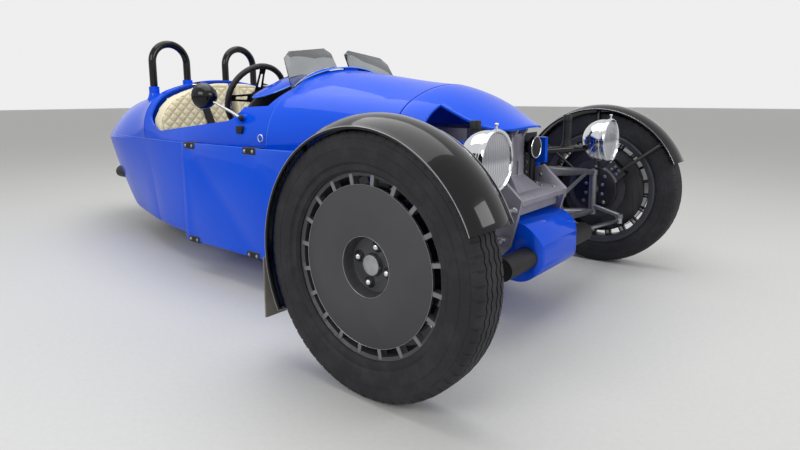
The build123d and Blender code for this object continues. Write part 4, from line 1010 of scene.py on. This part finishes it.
def makeRedGlass():
    look = {"colour": shade(168, 12, 14), "deep": shade(110, 6, 8), "grain": 0.4}
    finish = Finish("redGlass", ior=1.5, coatRoughness=0.03)
    cells = finish.cells(260)
    finish.drive(color=finish.mix(cells, look["colour"], look["deep"]), roughness=finish.fit(cells, 0.12, 0.22),
                 normal=finish.bump(cells, look["grain"], 0.001))
    return finish.material


redGlass = makeRedGlass()
makeHoopCollars()
makeMirrors()
makeTailLamps()
print("hoops, mirrors and tail lamps")


def makeSideFittings():
    # bolts in the blade brackets, the lock button, and the flush ring on the body side
    side = {"brackets": ((960, 599), (960, 158), (1410, 599), (1410, 158)), "boltGap": 26, "out": 552,
            "button": ((495, 512), (1060, 1100), (664, 696)), "ring": (508, 936, 650)}
    spots, buttons, rings = [], [], []
    for sx in sides.values():
        spots += [(fromAxle(sx * side["out"], y + step, z), (sx, 0, 0)) for y, z in side["brackets"]
                  for step in (-side["boltGap"], side["boltGap"])]
        across, ys, zs = side["button"]
        buttons.append(slab(*[fromAxle(x, y, z) for x, y, z in zip(sorted(sx * x for x in across), ys, zs)]))
        x, y, z = side["ring"]
        rings.append(ringBar(fromAxle(sx * x, y, z), "X", 0.0150, 0.0024, 40, 8))
    scattered("blade_bolts", domeBolt(0.0060, 0.0055), spots, "bright_steel", "body")
    easedPiece("side_locks", buttons, 0.004, 3, "black_plastic")
    piece("side_rings", together(rings), "chrome")


makeSideFittings()
print("side fittings")


def makeQuiltedLeather():
    look = {"colour": shade(232, 223, 192), "crease": shade(186, 171, 132), "wear": shade(214, 201, 164), "grain": 0.3}
    finish = Finish("quiltedLeather", specular=0.3, sheen=0.06)
    seam = finish.add("ShaderNodeAttribute", {"attribute_name": "seam"}, None, 2)
    pores = finish.cells(420, "DISTANCE_TO_EDGE")
    wear = finish.noise(20, 6, 0.6)
    tone = finish.mix(finish.fit(wear, 0, 0.7, 0.4, 0.8), look["colour"], look["wear"])
    # painted shade: the seam mark darkens the quilting creases towards the crease colour
    finish.drive(
        color=finish.mix(finish.fit(seam, 0, 0.5), tone, look["crease"]),
        roughness=finish.fit(wear, 0.4, 0.58) + seam * 0.1,
        normal=finish.bump(finish.fit(pores, 0, 1, 0, 0.25), look["grain"], 0.0004))
    return finish.material


quiltedLeather = makeQuiltedLeather()


def oneSide(node):
    # the left half of a CAD node, as its own mesh
    return reshaped(outward(added(node + "_left", nodes[node].data.copy())), lambda bm: bmesh.ops.delete(
        bm, geom=[v for v in bm.verts if v.co.x < 0], context="VERTS"))


def swelled(thing, voxel, swell, frames=20):
    # remeshed, drawn in by the swell, then blown out again by no more than that
    remesh = thing.modifiers.new("even", "REMESH")
    remesh.mode, remesh.voxel_size = "VOXEL", voxel
    soft = thing.modifiers.new("soft", "SMOOTH")
    soft.factor, soft.iterations = 0.5, 6
    applied(thing)
    start = [v.co - v.normal * swell for v in thing.data.vertices]
    for v, co in zip(thing.data.vertices, start):
        v.co = co
    cloth = thing.modifiers.new("puff", "CLOTH")
    cloth.settings.use_pressure, cloth.settings.uniform_pressure_force = True, 4
    cloth.settings.effector_weights.gravity = 0
    cloth.point_cache.frame_start, cloth.point_cache.frame_end = 1, frames
    for frame in range(1, frames + 1):
        bpy.context.scene.frame_set(frame)
    applied(thing)
    bpy.context.scene.frame_set(1)
    for v, co in zip(thing.data.vertices, start):
        move = v.co - co
        if move.length > swell:
            v.co = co + move.normalized() * swell
    return thing


def quilted(thing, pad, quilting):
    # diamond channels sewn in where the surface faces the sitter, and a mark for the painted shade that darkens them
    face, across, up = Vector(pad["face"]).normalized(), Vector(pad["across"]), Vector(pad["up"])
    pitch, border, depth = quilting["pitch"], pad["border"], pad["depth"]
    mesh = thing.data
    spots = [(v.co.dot(across), v.co.dot(up)) for v in mesh.vertices if v.normal.dot(face) > 0.7]
    (lowU, highU), (lowV, highV) = [(min(row), max(row)) for row in zip(*spots)]
    marks, places = [], []
    for v in mesh.vertices:
        u, w = v.co.dot(across), v.co.dot(up)
        toward = max(0.0, min(1.0, (v.normal.dot(face) - 0.45) / 0.35))
        inside = min(u - lowU, highU - u, w - lowV, highV - w) - border
        gap = abs(inside)
        if inside >= 0:  # within the border seam, the nearest diamond line may be nearer
            lines = [abs((c / pitch + 0.5) % 1 - 0.5) * pitch for c in ((u + w) * 0.7071, (u - w) * 0.7071)]
            gap = min(inside, *lines)
        crease = math.exp(-(gap / quilting["crease"]) ** 2) * toward
        pillow = (1 - math.exp(-(gap / quilting["pillow"]) ** 2)) * toward
        places.append(v.co - v.normal * depth * (0.55 * crease + 0.45 * (toward - pillow)))
        marks.append(crease)
    for v, co in zip(mesh.vertices, places):
        v.co = co
    # the mark for the painted shade in the creases
    seam = mesh.attributes.new("seam", "FLOAT", "POINT")
    seam.data.foreach_set("value", marks)
    return thing


def mirrored(thing, name):
    # the same mesh on the other side, its faces turned back outwards
    other = added(name, thing.data.copy())
    other.data.transform(Matrix.Diagonal((-1, 1, 1, 1)))
    other.data.flip_normals()
    return other


def makePads():
    quilting = {"pitch": 0.036, "crease": 0.0034, "pillow": 0.010}
    pads = {
        "seat_backs": {"voxel": 0.0075, "swell": 0.006, "face": (0, -1, 0.15), "across": (1, 0, 0),
                       "up": (0, 0.14, 0.99), "depth": 0.0055, "border": 0.020, "fill": 0.7},
        "seat_cushions": {"voxel": 0.0075, "swell": 0.009, "face": (0, 0, 1), "across": (1, 0, 0),
                          "up": (0, 1, 0), "depth": 0.005, "border": 0.034, "fill": 0.75},
        "side_trims": {"voxel": 0.006, "swell": 0.004, "face": (-1, 0, 0), "across": (0, 1, 0),
                       "up": (0, 0, 1), "depth": 0.0035, "border": 0.014, "fill": 0.5},
    }
    for node, pad in pads.items():
        left = swelled(oneSide(node), pad["voxel"], pad["swell"])
        smooth = left.modifiers.new("smooth", "SUBSURF")
        smooth.levels = smooth.render_levels = 1
        quilted(applied(left), pad, quilting)
        for thing in (left, mirrored(left, node + "_right")):
            finishPiece(thing, "cream_leather", "body", replaces=(node,), sharp=180, material=quiltedLeather)


makePads()
print("seats and trims")


def makeWebbing():
    look = {"colour": shade(26, 26, 28), "thread": shade(48, 48, 52), "weave": 0.5}
    finish = Finish("webbing", specular=0.25, sheen=0.15)
    weave = finish.add("ShaderNodeTexWave", {"bands_direction": "DIAGONAL"}, {"Vector": finish.place(), "Scale": 160.0})
    wear = finish.noise(30, 4)
    finish.drive(color=finish.mix(weave * wear, look["colour"], look["thread"]), roughness=finish.fit(wear, 0.65, 0.85),
                 normal=finish.bump(weave, look["weave"], 0.0005))
    return finish.material


def ribbon(points, facing, width, thick):
    # a flat strap along points, one facing for each point
    vertices = []
    points = [Vector(p) for p in points]
    for i, point in enumerate(points):
        along = (points[min(i + 1, len(points) - 1)] - points[max(i - 1, 0)]).normalized()
        out = Vector(facing[i]).normalized()
        side = along.cross(out).normalized()
        half = width / 2
        for s, o in ((-half, 0), (-half * 0.94, thick), (half * 0.94, thick), (half, 0), (half * 0.94, -thick * 0.2),
                     (-half * 0.94, -thick * 0.2)):
            vertices.append(point + side * s + out * o)
    return vertices, skin(len(points), 6)


def makeBelts():
    belt = {"width": 0.046, "thick": 0.0022, "top": (228, 896), "buckle": (120, 470), "lift": 2, "sag": 3,
            "backFoot": (1772, 380), "backHead": (1850, 905), "lap": ((250, 1752, 412), (400, 1756, 404)),
            "guide": (226, 1845, 884), "buckleBox": ((-0.028, -0.026, -0.045), (0.028, -0.004, 0.015)),
            "tongueBox": ((-0.020, -0.014, 0.010), (0.020, -0.009, 0.040)),
            "guideBox": ((-0.032, -0.010, -0.004), (0.032, -0.006, 0.004))}
    (footY, footZ), (headY, headZ) = belt["backFoot"], belt["backHead"]
    straps, buckles, tongues = [], [], []

    def block(at, box):
        return slab(*[at + Vector(corner) for corner in belt[box]])
    for sx in sides.values():
        shoulder = []
        for share in evenly(0, 1, 16):
            x, z = [first + (last - first) * share for first, last in zip(belt["top"], belt["buckle"])]
            y = footY + (z - footZ) / (headZ - footZ) * (headY - footY)  # the backrest's face
            shoulder.append(fromAxle(sx * x, y - belt["lift"] - belt["sag"] * math.sin(math.pi * share), z))
        end = shoulder[-1]
        lap = [end] + [fromAxle(sx * x, y, z) for x, y, z in belt["lap"]]
        straps.append(ribbon(shoulder, [(0, -1, 0.15)] * len(shoulder), belt["width"], belt["thick"]))
        straps.append(ribbon(lap, [(0, -1, 0.4), (0, -0.8, 0.8), (0, -1, 0.4)], belt["width"], belt["thick"]))
        x, y, z = belt["guide"]
        buckles.append(block(end, "buckleBox"))
        tongues += [block(end, "tongueBox"), block(fromAxle(sx * x, y, z), "guideBox")]
    piece("belt_straps", together(straps), "black_plastic", material=makeWebbing())
    easedPiece("belt_buckles", buckles, 0.005, 3, "black_plastic")
    easedPiece("belt_tongues", tongues, 0.0015, 2, "chrome")


makeBelts()
print("belts")


def makeGripLeather():
    look = {"colour": shade(28, 28, 30), "paintEdgeHighlight": shade(58, 56, 54), "grain": 0.45}
    finish = Finish("gripLeather", specular=0.4)
    pores = finish.cells(520, "DISTANCE_TO_EDGE")
    wear = finish.noise(24, 5, 0.6)
    finish.drive(color=finish.mix(finish.fit(wear, 0, 0.5, 0.5, 0.85), look["colour"], look["paintEdgeHighlight"]),
                 roughness=finish.fit(wear, 0.38, 0.58),
                 normal=finish.bump(finish.fit(pores, 0, 1, 0, 0.3), look["grain"], 0.0004))
    return finish.material


def makeSteeringWheel():
    wheel = {
        "centre": (-225, 1326, 814), "tilt": 22, "reach": 0.161, "grip": 0.0138, "swells": 40, "swell": 0.035,
        "stitches": 132, "stitchRows": (-0.0016, 0.0016), "spokes": (0, 180, 270), "bossBolts": 6,
        "bossBoltReach": 0.0225,
        "plates": (  # along the spoke: from, its half widths there, to, its half widths there
            (0.026, (-0.024, 0.024), 0.056, (-0.020, 0.020)),
            (0.050, (0.0095, 0.0205), 0.128, (0.0060, 0.0150)),
            (0.050, (-0.0205, -0.0095), 0.128, (-0.0150, -0.0060)),
            (0.122, (-0.0155, 0.0155), 0.152, (-0.0170, 0.0170))),
        "stitch": [(-0.001, 0), (-0.001, 0.0011), (0.0002, 0.0011), (0.0007, 0.0006), (0.0008, 0)],
        "boss": [(-0.012, 0.0105), (-0.012, 0.034), (-0.004, 0.040), (0.004, 0.040), (0.006, 0.036),
                 (0.011, 0.0345), (0.011, 0.0105)]}
    tilt = math.radians(wheel["tilt"])
    axis, across = Vector((0, math.cos(tilt), math.sin(tilt))), Vector((1, 0, 0))
    up = axis.cross(across)
    centre, reach, grip = fromAxle(*wheel["centre"]), wheel["reach"], wheel["grip"]

    def placed(x, y, z):
        # x and y in the wheel's plane, z along the column
        return centre + across * x + up * y + axis * z

    def turned(r, angle, z):
        return placed(r * math.cos(angle), r * math.sin(angle), z)
    # the grip, with finger swells on its far side
    vertices = []
    steps, around = 200, 18
    for i in range(steps):
        t = tau * i / steps
        for k in range(around):
            a = tau * k / around
            swell = wheel["swell"] * (1 + math.cos(t * wheel["swells"])) * (math.sin(a) < -0.2) * (math.cos(a) < 0.6)
            r = grip * (1 - swell)
            vertices.append(turned(reach + r * math.cos(a), t, r * math.sin(a)))
    piece("wheel_grip", (vertices, skin(steps, around, "joined")), "black_plastic", "steering",
          replaces=("steering_wheel",), material=makeGripLeather())
    # stitches along the inside of the grip
    places = []
    for t in evenly(0, tau, wheel["stitches"])[:-1]:
        inward = -(across * math.cos(t) + up * math.sin(t))
        places += [(turned(reach - grip + 0.0002, t, z), inward) for z in wheel["stitchRows"]]
    scattered("grip_stitches", lathe(wheel["stitch"], 6, Vector(), "Z"), places, "cream_leather", "steering")
    # each spoke is a tapered plate with a slot between two rails
    spokes = []
    for angle in wheel["spokes"]:
        c, s = math.cos(math.radians(angle)), math.sin(math.radians(angle))
        for near, nearHalves, far, farHalves in wheel["plates"]:
            corners = [(r, w, z) for r, halves in ((near, nearHalves), (far, farHalves)) for w in halves
                       for z in (-0.0032, 0.0018)]
            spokes.append(([placed(r * c - w * s, r * s + w * c, z) for r, w, z in corners], blockFaces))
    easedPiece("wheel_spokes", spokes, 0.0012, 2, "black_plastic", "steering")
    for name, (corners, faces), slot in (
            ("wheel_boss", lathe(wheel["boss"], 48, Vector(), "Z", closed=True), "black_plastic"),
            ("wheel_boss_ring", ringBar(Vector((0, 0, 0.0105)), "Z", 0.031, 0.0018, 56, 8), "chrome")):
        piece(name, ([placed(*v) for v in corners], faces), slot, "steering")
    spots = [(turned(wheel["bossBoltReach"], t, 0.011), axis) for t in evenly(0, tau, wheel["bossBolts"])[:-1]]
    scattered("wheel_boss_bolts", domeBolt(0.0026, 0.0028), spots, "bright_steel", "steering")


makeSteeringWheel()
print("steering wheel")


def makeDials():
    # bezels, faces, marks and needles on the dash, seen from the seats
    dial = {"at": (62, 1105, 800), "radius": 0.048, "marks": 21, "sweep": 270, "needles": (0.6, -0.9),
            "needleLength": 0.034, "switches": (-130, -98, -66, -34, -2, 30, 62, 94, 126), "switchZ": 742}
    radius = dial["radius"]
    bezel = [(0.0005, -0.0065), (0.0065, -0.0060), (0.0085, -0.0035), (0.0070, 0.0005), (0.0005, 0.0015)]
    plate = [(0.0, 0), (0.0, radius - 0.005), (0.0015, radius - 0.005), (0.0018, 0)]
    hub = [(0.0018, 0), (0.0018, 0.006), (0.0045, 0.005), (0.0050, 0)]
    bezels, plates, needles, marks = [], [], [], []
    for sx, turn in zip(sides.values(), dial["needles"]):
        at = fromAxle(sx * dial["at"][0], *dial["at"][1:])

        def onFace(angle, reach, out):
            return at + Vector((math.sin(angle) * reach, out, math.cos(angle) * reach))
        bezels.append(lathe([(a, radius + r) for a, r in bezel], 64, at, "Y", closed=True))
        plates.append(lathe(plate, 48, at, "Y"))
        needles.append(lathe(hub, 24, at, "Y"))
        needles.append(tube([onFace(turn, r, 0.0034) for r in (0, dial["needleLength"])], [0.0013, 0.0005], 8))
        for i in range(dial["marks"]):
            angle = math.radians(dial["sweep"] * (i / (dial["marks"] - 1) - 0.5))
            outer, long = radius - 0.009, 0.0038 if i % 5 else 0.0068
            marks.append(tube([onFace(angle, r, 0.0019) for r in (outer - long, outer)], 0.0006, 6))
    piece("dial_bezels", together(bezels), "chrome")
    piece("dial_faces", together(plates), "black_plastic")
    piece("dial_needles", together(needles), "flap_rubber")
    piece("dial_marks", together(marks), "cream_leather")
    switch = [(0, 0), (0, 0.009), (0.003, 0.009), (0.004, 0.005), (0.012, 0.0045), (0.016, 0.006), (0.018, 0.0045),
              (0.0185, 0)]
    spots = [(fromAxle(x, dial["at"][1], dial["switchZ"]), (0, 1, 0)) for x in dial["switches"]]
    scattered("dash_switches", lathe(switch, 16, Vector(), "Z"), spots, "bright_steel", "body")


makeDials()
print("dials")


def surfaceOf(node):
    mesh = nodes[node].data
    return BVHTree.FromPolygons([v.co for v in mesh.vertices], [p.vertices for p in mesh.polygons])


def makeFloorMat():
    # a moulded mat that lies on the floor and over the tunnel, found by rays from above
    mat = {"across": (-420, 420), "along": (1125, 1415), "step": 12, "lifts": (0.005, 0.0012), "above": 560,
           "below": 420}
    step, tub = mat["step"], surfaceOf("body_tub")
    xs, ys = [range(low, high + 1, step) for low, high in (mat["across"], mat["along"])]
    vertices, faces, ids, edges = [], [], {}, []
    for x in xs:
        for y in ys:
            hit = tub.ray_cast(fromAxle(x, y, mat["above"]), Vector((0, 0, -1)))[0]
            if hit and hit.z < mat["below"] / 1000:
                ids[x, y] = len(vertices)
                vertices += [hit + Vector((0, 0, lift)) for lift in mat["lifts"]]
    for x in xs[:-1]:
        for y in ys[:-1]:
            loop = [(x, y), (x + step, y), (x + step, y + step), (x, y + step)]
            if all(spot in ids for spot in loop):
                faces += [[ids[k] for k in loop], [ids[k] + 1 for k in reversed(loop)]]
                edges += zip(loop, loop[1:] + loop[:1])
    met = set(edges)
    faces += [[ids[b], ids[a], ids[a] + 1, ids[b] + 1] for a, b in edges if (b, a) not in met]  # the rim
    used = sorted({i for face in faces for i in face})
    renumber = {old: new for new, old in enumerate(used)}
    piece("floor_mat", ([vertices[i] for i in used], [[renumber[i] for i in face] for face in faces]), "black_plastic",
          material=makeMatRubber())


def makeMatRubber():
    look = {"colour": shade(30, 30, 32), "dust": shade(74, 70, 64), "ribs": 0.6}
    finish = Finish("matRubber", specular=0.2)
    ribs = finish.add("ShaderNodeTexWave", {"bands_direction": "X"}, {"Vector": finish.place(), "Scale": 24.0})
    dust = finish.noise(18, 6, 0.7)
    finish.drive(color=finish.mix(finish.fit(dust, 0, 0.5, 0.5, 0.85), look["colour"], look["dust"]),
                 roughness=finish.fit(dust, 0.7, 0.9), normal=finish.bump(ribs, look["ribs"], 0.001))
    return finish.material


makeFloorMat()
print("floor mat")


def makeHubDetails():
    # on the front uprights: plate bolts, caliper bolts, the clamps where the stays meet the wing, the flap's slot
    hub = {"plate": 756, "caliper": 763, "stay": 771, "stays": (52, 0, -52), "stayReach": 369,
           "plateBolts": [(80, a) for a in (38, 142, 218, 322)] + [(46, a) for a in (60, 120, 240, 300)],
           "caliperBolts": ((148, -50), (148, -40), (128, -52), (128, -38)),
           "clamp": [(0, 0), (0, 0.0105), (0.0015, 0.0115), (0.0095, 0.0115), (0.0110, 0.0086), (0.0200, 0.0086),
                     (0.0200, 0)],
           "slotX": (824, 851), "slotY": (405.8, 412.6), "slotZ": (190, 194)}
    for side, sx in sides.items():
        body = "knuckle_" + side

        def spot(x, reach, angle):
            a = math.radians(angle)
            return fromAxle(sx * x, reach * math.sin(a), axle["height"] + reach * math.cos(a))
        plate = [(spot(hub["plate"], r, a), (-sx, 0, 0)) for r, a in hub["plateBolts"]]
        scattered("plate_bolts_" + side, hexBolt(0.0065, 0.0065), plate, "bright_steel", body)
        ends = [(spot(hub["caliper"], r, a), (-sx, 0, 0)) for r, a in hub["caliperBolts"]]
        scattered("caliper_bolts_" + side, hexBolt(0.006, 0.007), ends, "bright_steel", body)
        stays = [(spot(hub["stay"], hub["stayReach"], -a), (0, -math.sin(math.radians(a)), math.cos(math.radians(a))))
                 for a in hub["stays"]]
        scattered("stay_clamps_" + side, lathe(hub["clamp"], 24, Vector(), "Z"), stays, "black_paint", body)
        # painted shade: the flap's slot is a black block, dark as a shadowed opening
        across = sorted(sx * x for x in hub["slotX"])
        slot = slab(*[fromAxle(x, y, z) for x, y, z in zip(across, hub["slotY"], hub["slotZ"])])
        piece("flap_slot_" + side, slot, "black_plastic", body)


makeHubDetails()
print("hubs")


def makeSeams():
    # fine joint lines: round the scuttle's rear edge and along the body under the crease, in a lighter blue that is a
    # painted highlight on the joints
    seam = {"scuttle": (0, 917, 450), "turns": (18, 162), "height": 604, "along": (700, 2600), "radius": 0.0011,
            "skins": ("body_tub", "scuttle", "tail_sides", "tail_deck")}
    skins = [surfaceOf(node) for node in seam["skins"]]

    def line(rays):
        # a thin bar over the outermost points that the rays meet
        points = []
        for start, toward in rays:
            hits = [(hit[3], hit[0]) for hit in [outside.ray_cast(start, toward) for outside in skins] if hit[0]]
            if hits:
                points.append(min(hits, key=lambda hit: hit[0])[1])
        return tube(points, seam["radius"], 6)
    middle = fromAxle(*seam["scuttle"])
    turns = [math.radians(a) for a in evenly(*seam["turns"], 60)]
    aways = [Vector((math.cos(a), 0, math.sin(a))) for a in turns]
    lines = [line([(middle + away * 1.2, -away) for away in aways])]
    for sx in sides.values():
        lines.append(line([(fromAxle(sx * 1200, y, seam["height"]), Vector((-sx, 0, 0)))
                           for y in evenly(*seam["along"], 95)]))
    piece("body_seams", together(lines), "body_paint", material=makePlain("seamHighlight"))


makeSeams()
print("seams")
